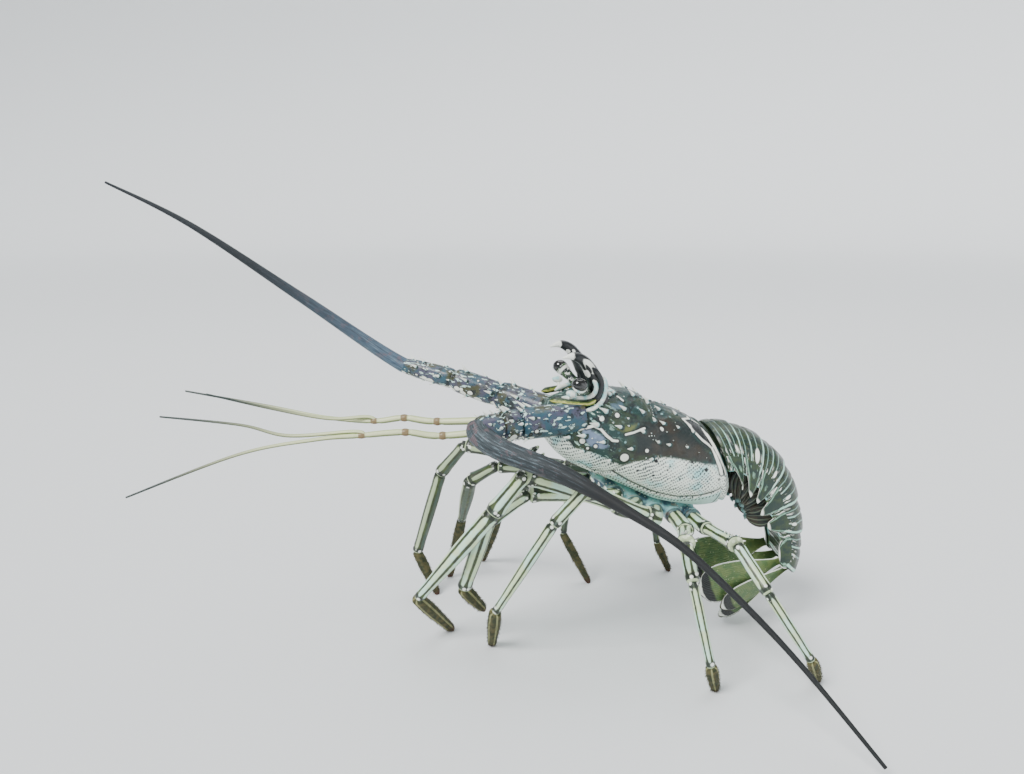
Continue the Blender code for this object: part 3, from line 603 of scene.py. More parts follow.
def shellPaint():
    f = Finish("shellPaint", 0.45, coat=0.22, coatRough=0.25)
    p = {**palette, **shellTones}
    cloud, grit = f.noise(55, 4), f.noise(420, 3)
    u, v = f.fact("lengthwise"), f.fact("girth")
    f.lay(f.mix(f.fade(cloud, 0.4, 0.64), p["slate"], p["moss"]))
    f.lay(p["deep"], f.fade(f.noise(120, 3), 0.5, 0.62, high=0.8))
    flecks = f.cells(230)
    f.lay(p["fleck"], f.fade(flecks, 0.3, 0.16, high=0.5))
    f.lay(p["aqua"], f.fade(f.fact("lump") + grit * 0.4, 0.75, 0.95, high=0.6))
    ragged = (f.noise(160, 4) - 0.5) * 7.0
    saddle = f.fade(f.fact("saddle") + ragged, 1.5, -2.5)
    dusk = f.mix(f.fade(f.noise(60, 4), 0.38, 0.68), p["dusk"], p["umber"])
    f.lay(dusk, saddle)
    # pale streaks over the front, beside the eyes
    dashes = f.noise(1.0, 3, f.vector(u * 0.13, v * 0.32))
    dashes = f.fade(dashes, 0.58, 0.63, high=0.9) * f.fade(u, 34, 2)
    f.lay(p["dash"], dashes)
    f.lay(p["olive"], f.fade(f.fact("oliveSpot") + ragged, 1.5, -2.0, high=0.9))
    f.lay(p["steel"], f.fade(f.fact("greySpot") + ragged, 1.0, -1.5, high=0.8))
    f.lay(p["lavender"], f.fade(f.fact("cheek") + ragged, 1.0, -2.0, high=0.9))
    # the pale flank with fine dark dots in slanting rows
    flank = f.fade(f.fact("flank") + ragged * 0.5, 0.8, -1.4)
    slope = math.radians(48)
    a = u * math.cos(slope) + v * math.sin(slope)
    b = v * math.cos(slope) - u * math.sin(slope)
    wander = (f.noise(190, 2) - 0.5) * 1.6
    da = f.calc("FRACT", a / 2.1 + wander) - 0.5
    db = f.calc("FRACT", b / 2.7 + wander) - 0.5
    ring = f.calc("SQRT", (da * 1.3) ** 2.0 + (db * 2.0) ** 2.0)
    size = f.fade(f.noise(75, 2), 0.35, 0.62, low=0.30, high=0.56)
    dots = f.fade(ring - size, 0.06, -0.06, high=0.92)
    pale = f.mix(f.fade(f.noise(60, 3), 0.30, 0.52), p["aqua"], p["flank"])
    pale = f.mix(dots, pale, p["dot"])
    # a hem below the dark margin line, with one row of dots
    beads = f.calc("COSINE", u * (2 * math.pi / 2.6))
    row = f.fade(abs(f.fact("hem") + 1.6), 0.9, 0.5)
    hem = f.mix(row * f.fade(beads, 0.0, 0.5), p["hem"], p["deep"])
    pale = f.mix(f.fade(f.fact("hem"), 0.3, -0.3), pale, hem)
    f.lay(pale, flank)
    f.lay(p["ink"], f.fade(f.fact("collar"), 0.5, -0.4))
    f.lay(p["ink"], f.fade(f.fact("darkSpots") + ragged * 0.08, 0.3, -0.3))
    marks = f.calc("MINIMUM", f.fact("whiteSpots"), f.fact("whiteLines"))
    f.lay(p["ink"], f.fade(marks, 1.7, 0.4, high=0.85))
    small = ragged * 0.12
    f.lay(p["milk"], f.fade(marks + small, 0.25, -0.25))
    f.lay(p["ink"], f.fade(f.fact("darkLines") + small, 0.3, -0.2, high=0.9))
    f.relief(grit + dots * -0.5, 0.35, 0.7)
    return f.done(f.fade(grit, 0.3, 0.7, low=0.34, high=0.55))


spines = {
    # station, angle from the back ridge, length, root radius
    "rows": (
        (3.9, 18, 7.5, 2.2), (4.1, 13, 7.0, 2.1), (5.0, 12, 6.5, 2.0), (6.0, 14, 5.5, 1.9),
        (7.6, 12, 5.0, 1.8), (8.6, 13, 4.0, 1.6), (9.4, 12, 3.2, 1.4), (3.6, 46, 8.5, 2.6),
        (4.4, 38, 7.0, 2.1), (5.3, 36, 6.0, 2.0), (6.2, 38, 5.0, 1.8), (7.5, 34, 5.0, 1.8),
        (8.4, 36, 3.6, 1.5), (9.2, 35, 3.0, 1.4), (3.2, 66, 8.0, 2.6), (4.2, 62, 6.5, 2.1),
        (5.2, 60, 5.5, 1.9), (6.4, 62, 4.4, 1.7), (7.6, 60, 4.0, 1.6), (8.6, 58, 3.0, 1.4),
        (2.6, 84, 7.0, 2.4), (3.6, 86, 5.5, 2.0), (4.7, 84, 5.0, 1.9), (5.8, 86, 4.0, 1.6),
        (7.4, 84, 3.2, 1.5), (2.0, 58, 6.0, 2.0), (1.7, 92, 5.5, 1.9), (2.8, 108, 4.0, 1.6),
        (4.0, 108, 3.6, 1.6),
    ),
    "lean": 0.95,
    "bend": 0.22,
    "small": 60,
    "tall": 1.2,
}


def makeShellSpines(finish):
    pile = Pile()
    rows = [(station, angle, length * spines["tall"], radius)
            for station, angle, length, radius in spines["rows"]]
    for _ in range(spines["small"]):
        station = chance.uniform(1.2, 9.6)
        size = chance.uniform(0.9, 2.0) * (1.25 if station < 5 else 0.8)
        rows.append((station, chance.uniform(6, 96), size, size * 0.42))
    for station, angle, length, radius in rows:
        for side in (-1, 1):
            place = shellPlace(station, side * angle)
            normal = shellNormal(np.array(station), np.array(side * angle))
            root = onBody(*place)
            outward = onBody(*(place + normal)) - root
            way = unit(outward - tailward * spines["lean"])
            addSpine(pile, root, way, length, radius, -outward * 0.1 - tailward * spines["bend"],
                     sides=9 if length > 3 else 6, rows=9 if length > 3 else 5)
    pile.make("shell_spines", finish, [], "shell")


def spinePaint():
    f = Finish("spinePaint", 0.35, coat=0.4)
    tip = f.fact("tip") + (f.noise(300, 2) - 0.5) * 0.25
    f.lay(f.mix(f.fade(tip, 0.02, 0.2), palette["slate"], palette["ink"]))
    f.lay(palette["aqua"], f.fade(tip, 0.2, 0.28))
    f.lay(palette["milk"], f.fade(tip, 0.28, 0.36))
    f.relief(f.noise(500, 2), 0.2, 0.5)
    return f.done()


head = {
    "horn": ((4.4, 15, 7.2, 6.3), (0.8, 15.5, 12, 6.0), (-4.5, 16.5, 18, 5.2), (-12, 17.8, 24, 4.2),
             (-20.5, 18, 26, 3.0), (-28, 17, 23, 0.8)),
    "hornFoot": (14, 14.5, -12, 7.4),
    "eyeCentre": (-13, 25.5, 7),
    "eyeRoot": (-6, 19, 3.5),
    "eyeSize": (6.2, 5.2, 5.4),
    # stalk: how far from the root or, below nought, from the eye's centre, and the radius there
    "stalk": ((0, 3.8), (5, 3.6), (-5.2, 4.6), (-2.2, 5.35), (-0.8, 5.2)),
    # spikes on the outer ridge: share of its way, length
    "brow": ((0.30, 6.5), (0.62, 3.0), (0.84, 2.6)),
}
# ridges round the eye: radius and places in the body frame, with side measured outwards
orbitRidges = {
    "inner": (1.8, ((-3, 19, 13.5), (1.2, 20.6, 9), (2.6, 20.6, 4), (0.8, 19.8, -0.8), (-4.5, 18.4, -3.9),
                    (-11, 15, -6.4), (-18, 9.5, -8.6))),
    "dark": (2.3, ((-5.5, 21.6, 21), (0, 22, 17), (4.2, 22, 12), (6, 21.6, 6), (5.4, 21, 0),
                   (2.6, 20.8, -3.8))),
    "green": (2.5, ((4.6, 21.2, -2.4), (0.5, 21.6, -5.8), (-6, 20.8, -7.8), (-13, 18.4, -9.2),
                    (-20.5, 15, -10.6), (-27.5, 11.5, -12))),
    "outer": (1.7, ((5.2, 22.2, 16), (8.4, 22.4, 10), (9.8, 21.8, 3), (8.6, 22.2, -3.6), (4, 23.4, -8.8),
                    (-3.5, 25.2, -11.8))),
    "lid": (1.05, ((-7.6, 27.0, 4.9), (-9.4, 28.0, 3.6), (-13, 28.7, 2.7), (-16.6, 28.0, 3.6),
                   (-18.4, 27.0, 5.0))),
}
bulb = {"place": (-15, 19.5, -2.2), "size": (4.3, 3.0, 2.8), "foot": (-13, 15, -7.5), "stem": 2.2}


def makeHorns(finish):
    for word, side in (("left", -1), ("right", 1)):
        pile = Pile()
        rows = [head["hornFoot"], *head["horn"]]
        line = smoothLine([(*onBody(x, side * y, z), r) for x, y, z, r in rows], 0.7)[0]
        turn = np.arange(28) * 2 * math.pi / 28
        flute = 1 + 0.03 * np.cos(7 * turn)
        rings, facts = tubeRings(line[:, :3], line[:, 3], 28, domes=(0, 0.7), shape=flute)
        facts["near"] = side < 0
        pile.loft(rings, **facts)
        pile.make("horn_%s_curved" % word, finish, ["horn_" + word], "horn")


def hornPaint():
    f = Finish("hornPaint", 0.3, coat=0.5, coatRough=0.15)
    wobble = (f.noise(150, 2) - 0.5) * 0.05
    place, back = f.fact("share") + wobble, f.fact("sine")
    near = f.fact("near")
    far = 1.0 - near
    f.lay(f.mix(f.fade(f.noise(220, 3), 0.4, 0.7, high=0.5), palette["ink"], palette["deep"]))
    # patches: where along the horn and how far to its back, half sizes, which horn, colour
    patches = (((0.655, -0.25), (0.115, 0.62), near, "milk"), ((0.635, -0.66), (0.07, 0.24), near, "ink"),
               ((0.59, -0.95), (0.06, 0.16), near, "milk"), ((0.47, 0.12), (0.022, 0.26), near, "milk"),
               ((0.74, -0.85), (0.034, 0.26), far, "milk"), ((0.69, -0.2), (0.024, 0.24), far, "milk"),
               ((0.50, 1.0), (0.022, 0.3), 1.0, "milk"), ((0.66, 1.0), (0.016, 0.2), 1.0, "aqua"))
    for middle, size, which, colour in patches:
        f.lay(palette[colour], f.oval(place, back, middle, size) * which)
    f.lay(palette["milk"], f.fade(place, 0.865, 0.885))
    f.relief(f.noise(260, 3), 0.25, 0.5)
    return f.done()


def makeEyes(eyeFinish, stalkFinish):
    for word, side in (("left", -1), ("right", 1)):
        x, y, z = head["eyeCentre"]
        centre = onBody(x, side * y, z)
        a, b, c = head["eyeRoot"]
        root = onBody(a + 4, side * (b - 4), c - 4)
        pile = Pile()
        axes = np.stack((rightward * side, tailward, skyward))
        sx, sy, sz = head["eyeSize"]
        addBall(pile, centre, (sy, sx, sz), axes)
        pile.make("eye_%s_globe" % word, eyeFinish, ["eye_" + word], "eye")
        pile = Pile()
        way = unit(centre - root)
        rows = [(*((root if far >= 0 else centre) + way * far), radius) for far, radius in head["stalk"]]
        line = smoothLine(rows, 0.6)[0]
        rings, facts = tubeRings(line[:, :3], line[:, 3], 24)
        pile.loft(rings, **facts)
        pile.make("eye_%s_stalk" % word, stalkFinish, [], "eye")


def makeOrbits(finishes):
    for word, side in (("left", -1), ("right", 1)):
        for ridge, (radius, places) in orbitRidges.items():
            pile = Pile()
            rows = [(*onBody(x, side * y, z), radius) for x, y, z in places]
            line, run = smoothLine(rows, 0.6)
            fadeOut = np.clip(np.minimum(run, run[-1] - run) / 4, 0.15, 1) ** 0.5
            rings, facts = tubeRings(line[:, :3], line[:, 3] * fadeOut, 14)
            pile.loft(rings, **facts)
            if ridge == "outer":
                for share, length in head["brow"]:
                    k = int(share * (len(line) - 1))
                    out = unit(line[k, :3] - onBody(-10, side * 16, 4))
                    addSpine(pile, line[k, :3], out + tailward * 0.25, length, 2.1, skyward * 0.15)
            if ridge == "lid":
                x, y, z = bulb["place"]
                axes = np.stack((tailward, rightward * side, skyward))
                addBall(pile, onBody(x, side * y, z), bulb["size"], axes)
                a, b, c = bulb["foot"]
                stem = onBody(x, side * y, z) - onBody(a, side * b, c)
                addSpine(pile, onBody(a, side * b, c), stem, np.linalg.norm(stem), bulb["stem"])
            pile.make("orbit_%s_%s" % (word, ridge), finishes[ridge], [], "horn")


def plainPaint(name, colour, second):
    f = Finish(name, 0.35, coat=0.4)
    grain = f.noise(240, 3)
    f.relief(grain, 0.25, 0.6)
    return f.done(colour=f.mix(f.fade(f.noise(170, 3), 0.45, 0.65), colour, second))


headTones = {
    "pine": tone(0.13, 0.22, 0.1),
    "lime": tone(0.55, 0.6, 0.22),
    "straw": tone(0.88, 0.84, 0.52),
    "stalk": tone(0.25, 0.36, 0.22),
    "eye": tone(0.02, 0.03, 0.04),
    "eyeBloom": tone(0.12, 0.12, 0.1),
}


def stripePaint():
    f = Finish("stripePaint", 0.4, coat=0.3)
    p = {**palette, **headTones}
    crown = f.fact("sine") + (f.noise(260, 3) - 0.5) * 1.2
    f.lay(f.mix(f.fade(abs(crown), 0.75, 0.25), p["pine"], p["lime"]))
    f.lay(p["straw"], f.fade(abs(crown), 0.3, 0.05, high=0.8))
    f.relief(f.noise(240, 3), 0.25, 0.6)
    return f.done()


def stalkPaint():
    f = Finish("stalkPaint", 0.4, coat=0.4)
    p = {**palette, **headTones}
    f.lay(f.mix(f.fade(f.noise(260, 3), 0.42, 0.6), p["deep"], p["stalk"]))
    f.lay(p["milk"], f.fade(f.noise(420, 2), 0.56, 0.62, high=0.8))
    rim = f.fade(f.fact("share"), 0.72, 0.76) * f.fade(f.fact("share"), 0.9, 0.86)
    f.lay(p["milk"], rim)
    f.relief(f.noise(400, 3), 0.25, 0.6)
    return f.done()


def eyePaint():
    f = Finish("eyePaint", 0.08, coat=1.0, coatRough=0.03)
    p = {**palette, **headTones}
    facets = f.cells(2600, loose=0.25)
    f.relief(facets, 0.05, 0.3)
    return f.done(colour=f.mix(f.fade(f.noise(260, 2), 0.45, 0.7), p["eye"], p["eyeBloom"]))


feelers = {
    # points in space with a radius at each, from the head outwards
    "right": (((20, -6, 189), 12.0), ((-10, 8, 196), 10.5), ((-47, 18, 207), 8.6), ((-88, 30, 216), 6.2),
              ((-175, 42, 272), 4.2), ((-264, 50, 330), 2.4), ((-333, 56, 364), 1.0)),
    "left": (((20, -52, 188), 12.0), ((0, -58, 187), 11.0), ((-24, -72, 187), 9.4), ((-9, -84, 176), 8.4),
             ((34, -99, 162), 7.0), ((75, -116, 143), 4.2), ((114, -135, 122), 3.0), ((151, -158, 92), 2.4),
             ((186, -184, 59), 1.9), ((229, -226, 12), 1.3)),
    "stub": 34.0,
    "baseEnd": {"right": 3, "left": 2},
    "half": {"right": 5, "left": 6},
    "swell": ((0.0, 1.0), (0.1, 1.02), (0.25, 1.1), (0.3, 0.93), (0.35, 1.0), (0.58, 1.1), (0.63, 0.93),
              (0.68, 1.0), (0.93, 1.08), (1.0, 0.98)),
    # share of the way, angle round it, length, root radius
    "spines": (
        (0.08, 60, 7, 2.0), (0.2, 80, 8, 2.1), (0.28, 110, 6, 1.8), (0.42, 65, 6.5, 1.9),
        (0.55, 95, 7, 2.0), (0.7, 75, 5.5, 1.7), (0.86, 100, 6, 1.8), (0.95, 60, 4.5, 1.6),
        (0.12, 150, 6, 1.9), (0.33, 165, 6, 1.9), (0.52, 150, 6, 1.8), (0.72, 170, 5, 1.7),
        (0.9, 150, 5, 1.6), (0.18, 10, 6, 1.9), (0.38, 20, 5.5, 1.8), (0.58, 5, 6, 1.8),
        (0.8, 20, 5, 1.7), (0.24, 230, 4.5, 1.7), (0.5, 240, 4.5, 1.6), (0.76, 235, 4, 1.5),
        (0.3, 300, 4.5, 1.7), (0.62, 305, 4, 1.6),
    ),
    "smallSpines": 46,
    "ringStep": 1.1,
}


def feelerBase(word, finish, spineFinish):
    chain = feelers[word]
    end = feelers["baseEnd"][word]
    rows = [(*place, radius) for place, radius in chain[:end + 1]]
    first, second = np.array(rows[0][:3]), np.array(rows[1][:3])
    inner = first - unit(second - first) * feelers["stub"]
    whole, run = smoothLine([(*inner, rows[0][3] * 1.08), *rows], 0.8)
    start = np.linalg.norm(first - inner)
    share = np.clip((run - start) / (run[-1] - start), 0, 1)
    knots = np.array(feelers["swell"])
    radius = whole[:, 3] * np.interp(share, knots[:, 0], knots[:, 1])
    # each joint's front edge overhangs the next
    for joint in (0.28, 0.61):
        edge = np.exp(-((share - joint) / 0.012) ** 2)
        dip = np.exp(-((share - joint - 0.025) / 0.012) ** 2)
        radius *= 1 + 0.05 * edge - 0.1 * dip
    turn = np.arange(44) * 2 * math.pi / 44
    ribs = 1 + 0.025 * np.cos(5 * turn + 0.6)
    rings, facts = tubeRings(whole[:, :3], radius, 44, domes=(0, 3.0), shape=ribs)
    pile = Pile()
    pile.loft(rings, **facts)
    pile.make("antenna_%s_stem" % word, finish, ["antenna_%s_base" % word], "shell")

    ways, flats, aboves = carry(whole[:, :3])
    thorns = Pile()
    rows = list(feelers["spines"])
    for _ in range(feelers["smallSpines"]):
        size = chance.uniform(1.2, 2.6)
        rows.append((chance.uniform(0.02, 0.98), chance.uniform(0, 360), size, size * 0.42))
    for part, angle, length, thick in rows:
        k = int(np.argmin(np.abs(share - part)))
        turn = math.radians(angle)
        out = flats[k] * math.cos(turn) + aboves[k] * math.sin(turn)
        root = whole[k, :3] + out * radius[k] * 0.95
        addSpine(thorns, root, out + ways[k] * 0.8, length, thick, ways[k] * 0.25, rows=7, sides=8)
    thorns.make("antenna_%s_thorns" % word, spineFinish, [], "shell")


def feelerWhip(word, finish):
    chain, end, half = feelers[word], feelers["baseEnd"][word], feelers["half"][word]
    rows = [(*place, radius) for place, radius in chain]
    line, run = smoothLine(rows, 0.27)
    starts = [nearestTo(line, chain[k][0]) for k in (end, half, -1)]
    for label, a, b in (("near", starts[0], starts[1]), ("far", starts[1], starts[2])):
        part, way = line[a:b + 1], run[a:b + 1]
        ripple = 1 + 0.012 * np.cos(way / feelers["ringStep"] * 2 * math.pi)
        domes = (1.5 if label == "near" else 0, 0.6)
        rings, facts = tubeRings(part[:, :3], part[:, 3] * ripple, 20, domes=domes)
        extra = len(rings) - len(part)
        lead = 4 if label == "near" else 0
        shares = way / run[-1]
        shares = np.concatenate((np.full(lead, shares[0]), shares, np.full(extra - lead, shares[-1])))
        facts["reach"] = shares[:, None]
        pile = Pile()
        pile.loft(rings, **facts)
        pile.make("antenna_%s_whip_%s" % (word, label), finish, ["antenna_%s_%s" % (word, label)],
                  "feeler")


feelerTones = {
    "teal": tone(0.15, 0.31, 0.37),
    "plum": tone(0.29, 0.29, 0.37),
    "stain": tone(0.27, 0.27, 0.13),
    "streak": tone(0.78, 0.9, 0.88),
    "farRoot": tone(0.36, 0.46, 0.55),
    "farTip": tone(0.06, 0.1, 0.13),
    "nearRoot": tone(0.25, 0.29, 0.31),
    "nearTip": tone(0.02, 0.03, 0.04),
    "light": tone(0.47, 0.55, 0.59),
    "rosy": tone(0.44, 0.35, 0.37),
    "lowSide": tone(0.42, 0.47, 0.24),
    "topSide": tone(0.6, 0.7, 0.35),
    "knob": tone(0.47, 0.36, 0.22),
    "darkEnd": tone(0.1, 0.17, 0.15),
}


def stemPaint():
    f = Finish("stemPaint", 0.45, coat=0.3)
    p = {**palette, **feelerTones}
    low = f.fade(f.fact("sine"), 0.1, -0.7)
    f.lay(f.mix(f.fade(f.noise(85, 3), 0.42, 0.6), p["teal"], p["plum"]))
    f.lay(p["stain"], f.fade(f.noise(48, 3), 0.5, 0.6, high=0.9))
    f.lay(p["deep"], f.fade(f.noise(150, 4), 0.54, 0.62, high=0.85))
    # short pale streaks that run along the limb, and ovals near its lower edge
    flow = f.vector(f.fact("cosine") * 3.0, f.fact("sine") * 3.0, f.fact("run") * 0.12)
    streaks = f.noise(1.5, 2, flow)
    f.lay(p["ink"], f.fade(streaks, 0.55, 0.59, high=0.8))
    f.lay(p["streak"], f.fade(streaks, 0.59, 0.63, high=0.95))
    spread = f.vector(f.fact("cosine") * 1.35, f.fact("sine") * 1.35, f.fact("run") * 0.11)
    ovals = f.cells(1.0, spread, 0.9)
    reach = low * 0.3 + 0.09
    f.lay(p["ink"], f.fade(ovals - reach, 0.09, 0.05))
    f.lay(p["milk"], f.fade(ovals - reach, 0.03, -0.02))
    f.relief(f.noise(350, 3) + streaks * 2.0, 0.4, 0.7)
    return f.done()


def whipPaint(name, near, far, edge, darkest):
    # edge is the strength of the pale line below, darkest the share where the far colour begins
    f = Finish(name, 0.6, coat=0.05)
    p = {**palette, **feelerTones}
    reach = f.fact("reach")
    flow = f.vector(f.fact("cosine") * 6.0, f.fact("sine") * 6.0, f.fact("run") * 0.07)
    streaks = f.noise(1.0, 4, flow, 0.7)
    grain = f.noise(170, 4)
    f.lay(f.mix(f.fade(reach, 0.1, darkest), p[near], p[far]))
    f.lay(p["deep"], f.fade(streaks, 0.5, 0.62, high=0.65))
    fresh = f.fade(reach, darkest, 0.15)
    light = f.fade(streaks, 0.46, 0.36) * (fresh * 0.75)
    f.lay(p["light"], light)
    rosy = f.fade(grain, 0.54, 0.64) * (fresh * 0.6)
    f.lay(p["rosy"], rosy)
    line = f.fade(f.fact("sine"), -0.82, -0.94) * (fresh * edge)
    f.lay(p["aqua"], line)
    rings = f.calc("SINE", f.fact("run") * (2 * math.pi / feelers["ringStep"]))
    f.lay(p["ink"], f.fade(rings, 0.0, -0.9, high=0.2))
    f.relief(streaks + grain * 0.5, 0.35, 0.8)
    return f.done()


antennules = {
    "left": (((8, -37.4, 180.4), 3.2), ((-53, -34, 173), 2.8), ((-82, -35, 176), 2.6),
             ((-115, -37, 174), 2.2)),
    "right": (((6, -20.5, 182.7), 3.2), ((-59, -8, 178), 2.8), ((-86, -4, 180), 2.6),
              ((-110, -2, 177), 2.2)),
    "leftOuter": (((-149, -42, 172), 1.5), ((-206, -52, 163), 1.2), ((-286, -70, 135), 0.7)),
    "leftInner": (((-172, -34, 173), 1.4), ((-209, -32, 181), 1.1), ((-271, -30, 187), 0.7)),
    "rightOuter": (((-150, 6, 178), 1.5), ((-200, 14, 186), 1.2), ((-268, 24, 196), 0.7)),
    "rightInner": (((-146, -6, 180), 1.4), ((-190, -10, 189), 1.1), ((-240, -12, 201), 0.7)),
    "stub": 30.0,
    # height, softness and place of the knob and the dip at each joint
    "knob": (0.16, 2.2, 0.0),
    "dip": (0.12, 1.5, 3.4),
    "ringStep": 1.1,
}


def makeAntennules(finish):
    for word in ("left", "right"):
        chain = antennules[word]
        first, second = np.array(chain[0][0]), np.array(chain[1][0])
        inner = first - unit(second - first) * antennules["stub"]
        rows = [(*inner, 3.3)] + [(*place, radius) for place, radius in chain + antennules[word + "Outer"]]
        line, run = smoothLine(rows, 0.6)
        joints = [run[nearestTo(line, chain[k][0])] for k in (1, 2, 3)]
        nearest = np.min([np.abs(run - joint) for joint in joints], axis=0)
        knob, dip = (height * np.exp(-((nearest - place) / width) ** 2)
                     for height, width, place in (antennules["knob"], antennules["dip"]))
        radius = line[:, 3] * (1 + knob - dip)
        past = soft(run, joints[2] - 1, joints[2] + 4)
        radius *= 1 + 0.05 * past * np.cos(run / antennules["ringStep"] * 2 * math.pi)
        rings, facts = tubeRings(line[:, :3], radius, 18, domes=(0, 0.5))
        extra = np.full(len(rings) - len(line), nearest[-1])
        facts["joint"] = np.concatenate((nearest, extra))[:, None]
        facts["reach"] = facts["share"]
        pile = Pile()
        pile.loft(rings, **facts)
        pile.make("antennule_%s_long" % word, finish, ["antennule_%s_outer" % word], "pale")
        tip = np.array(chain[-1][0])
        inner = antennules[word + "Inner"]
        way = unit(np.array(inner[0][0]) - tip)
        rows = [(*(tip - way * 2), 1.3), (*(tip + way * 6 + np.array((0, 0, 3.0))), 1.5)]
        rows += [(*place, radius) for place, radius in inner]
        line, run = smoothLine(rows, 0.6)
        radius = line[:, 3] * (1 + 0.06 * np.cos(run / antennules["ringStep"] * 2 * math.pi))
        rings, facts = tubeRings(line[:, :3], radius, 14, domes=(0, 0.5))
        facts["joint"] = 20.0
        facts["reach"] = 0.55 + 0.45 * facts["share"]
        pile = Pile()
        pile.loft(rings, **facts)
        pile.make("antennule_%s_short" % word, finish, ["antennule_%s_inner" % word], "pale")


def antennulePaint():
    f = Finish("antennulePaint", 0.45, coat=0.2)
    p = {**palette, **feelerTones}
    f.lay(f.mix(f.fade(f.fact("sine"), -0.55, 0.1), p["lowSide"], p["cream"]))
    f.lay(p["topSide"], f.fade(f.fact("sine"), 0.75, 0.95, high=0.6))
    f.lay(p["knob"], f.fade(f.fact("joint"), 3.2, 2.0, high=0.9))
    f.lay(p["darkEnd"], f.fade(f.fact("reach"), 0.6, 0.95))
    f.relief(f.noise(420, 2), 0.15, 0.5)
    return f.done()


legs = {
    "roots": ((42, 21, -75.5), (59, 24, -80), (76, 27, -82.5), (93, 29, -83), (109, 28, -82)),
    "hipOut": (3, 15, 15, 17, 10),
    "hipAhead": 0.12,
    "coxaRadius": 7.0,
    "coxaInside": 9.0,
    # knee, wrist, ankle, toe in space
    "joints": {
        "left_1": ((12, -46, 131), (-18, -50, 111), (-38, -40, 50), (-24, -26, 25)),
        "left_2": ((9, -74, 154), (-14, -70, 123), (-74, -42, 43), (-51, -9, 0)),
        "left_3": ((53, -92, 148), (30, -90, 121), (-13, -62, 40), (-16, -36, 0)),
        "left_4": ((125, -98, 109), (127, -120, 89), (142, -122, 25), (148, -109, 0)),
        "left_5": ((164, -90, 105), (182, -114, 78), (216, -114, 26), (227, -95, 0)),
        "right_1": ((-40, 42, 146), (-62, 60, 116), (-85, 70, 39), (-68, 67, 0)),
        "right_2": ((-13, 44, 127), (-36, 50, 112), (-46, 88, 62), (-58, 107, 0)),
        "right_3": ((35, 50, 118), (15, 65, 104), (-14, 115, 52), (-28, 147, 0)),
        "right_4": ((64, 72, 124), (52, 78, 100), (47, 92, 48), (70, 93, 0)),
        "right_5": ((118, 84, 95), (128, 104, 76), (137, 116, 30), (149, 122, 0)),
    },
    "upper": ((6.6, 6.0, 7.4), (6.6, 6.0, 7.4), (6.4, 5.6, 7.0), (6.0, 5.2, 6.4), (5.6, 4.8, 6.0)),
    "lower": ((6.8, 6.8, 5.4), (7.0, 7.2, 4.0), (5.6, 4.8, 3.3), (5.4, 4.2, 3.3), (5.2, 4.2, 3.3)),
    "foot": ((5.2, 5.4, 3.4), (5.2, 5.6, 3.6), (4.8, 5.2, 3.6), (4.2, 4.6, 3.2), (4.0, 4.4, 3.0)),
    "footFlat": 2.2,
    "farSlim": 0.84,
    # share of painted shade on the far legs, which stand in shadow
    "farShade": 0.94,
    "bristles": 620,
    "bristleLength": (1.6, 3.8),
    "bristleLean": (0.9, 1.7),
    "bristleWidth": 0.15,
    "wristSwell": ((0, 0.82), (0.1, 0.96), (0.3, 0.9), (0.75, 1.0), (0.92, 1.1), (1, 1.0)),
    "hipSwell": ((0, 0.9), (0.5, 1.0), (0.9, 1.08), (1, 0.98)),
    "coxaSwell": ((0, 1.0), (0.4, 0.94), (0.8, 1.04), (0.95, 1.06), (1, 0.96)),
    # spikes of the upper leg: share of the way, angle round it, length
    "spikes": ((0.93, 70, 5.0), (0.93, 120, 4.0), (0.97, 20, 2.6), (0.97, 165, 2.6), (0.62, 95, 2.2),
               (0.76, 88, 2.6)),
}


def limbLength(pile, rows, swell, shade, sides=30):
    # one stiff length of a limb, swelling towards the joint at its far end; shade is how much painted shade
    # its colour takes
    line, run = smoothLine(rows, 0.8)
    share = run / run[-1]
    knots = np.array(swell)
    radius = line[:, 3] * np.interp(share, knots[:, 0], knots[:, 1])
    turn = np.arange(sides) * 2 * math.pi / sides
    shape = 1 + 0.05 * np.cos(2 * turn) - 0.035 * np.exp(-((turn - math.pi / 2) / 0.3) ** 2)
    rings, facts = tubeRings(line[:, :3], radius, sides, domes=(1.2, 1.2), shape=shape)
    facts["fromStart"] = facts["run"]
    facts["fromEnd"] = facts["run"][-1, 0] - facts["run"]
    pile.loft(rings, shade=shade, **facts)
    return line, radius


limbSwell = ((0, 0.82), (0.03, 0.97), (0.08, 0.98), (0.16, 0.92), (0.5, 0.98), (0.86, 0.98), (0.93, 1.06),
             (0.975, 1.1), (1, 0.98))


def legRoot(label):
    side = -1 if label.startswith("left") else 1
    pair = int(label[-1]) - 1
    x, y, z = legs["roots"][pair]
    root = onBody(x, side * y, z)
    knee = np.array(legs["joints"][label][0], float)
    hip = root + (knee - root) * legs["hipAhead"] + rightward * side * legs["hipOut"][pair]
    return onBody(x, side * legs["coxaInside"], z), root, hip, pair, side


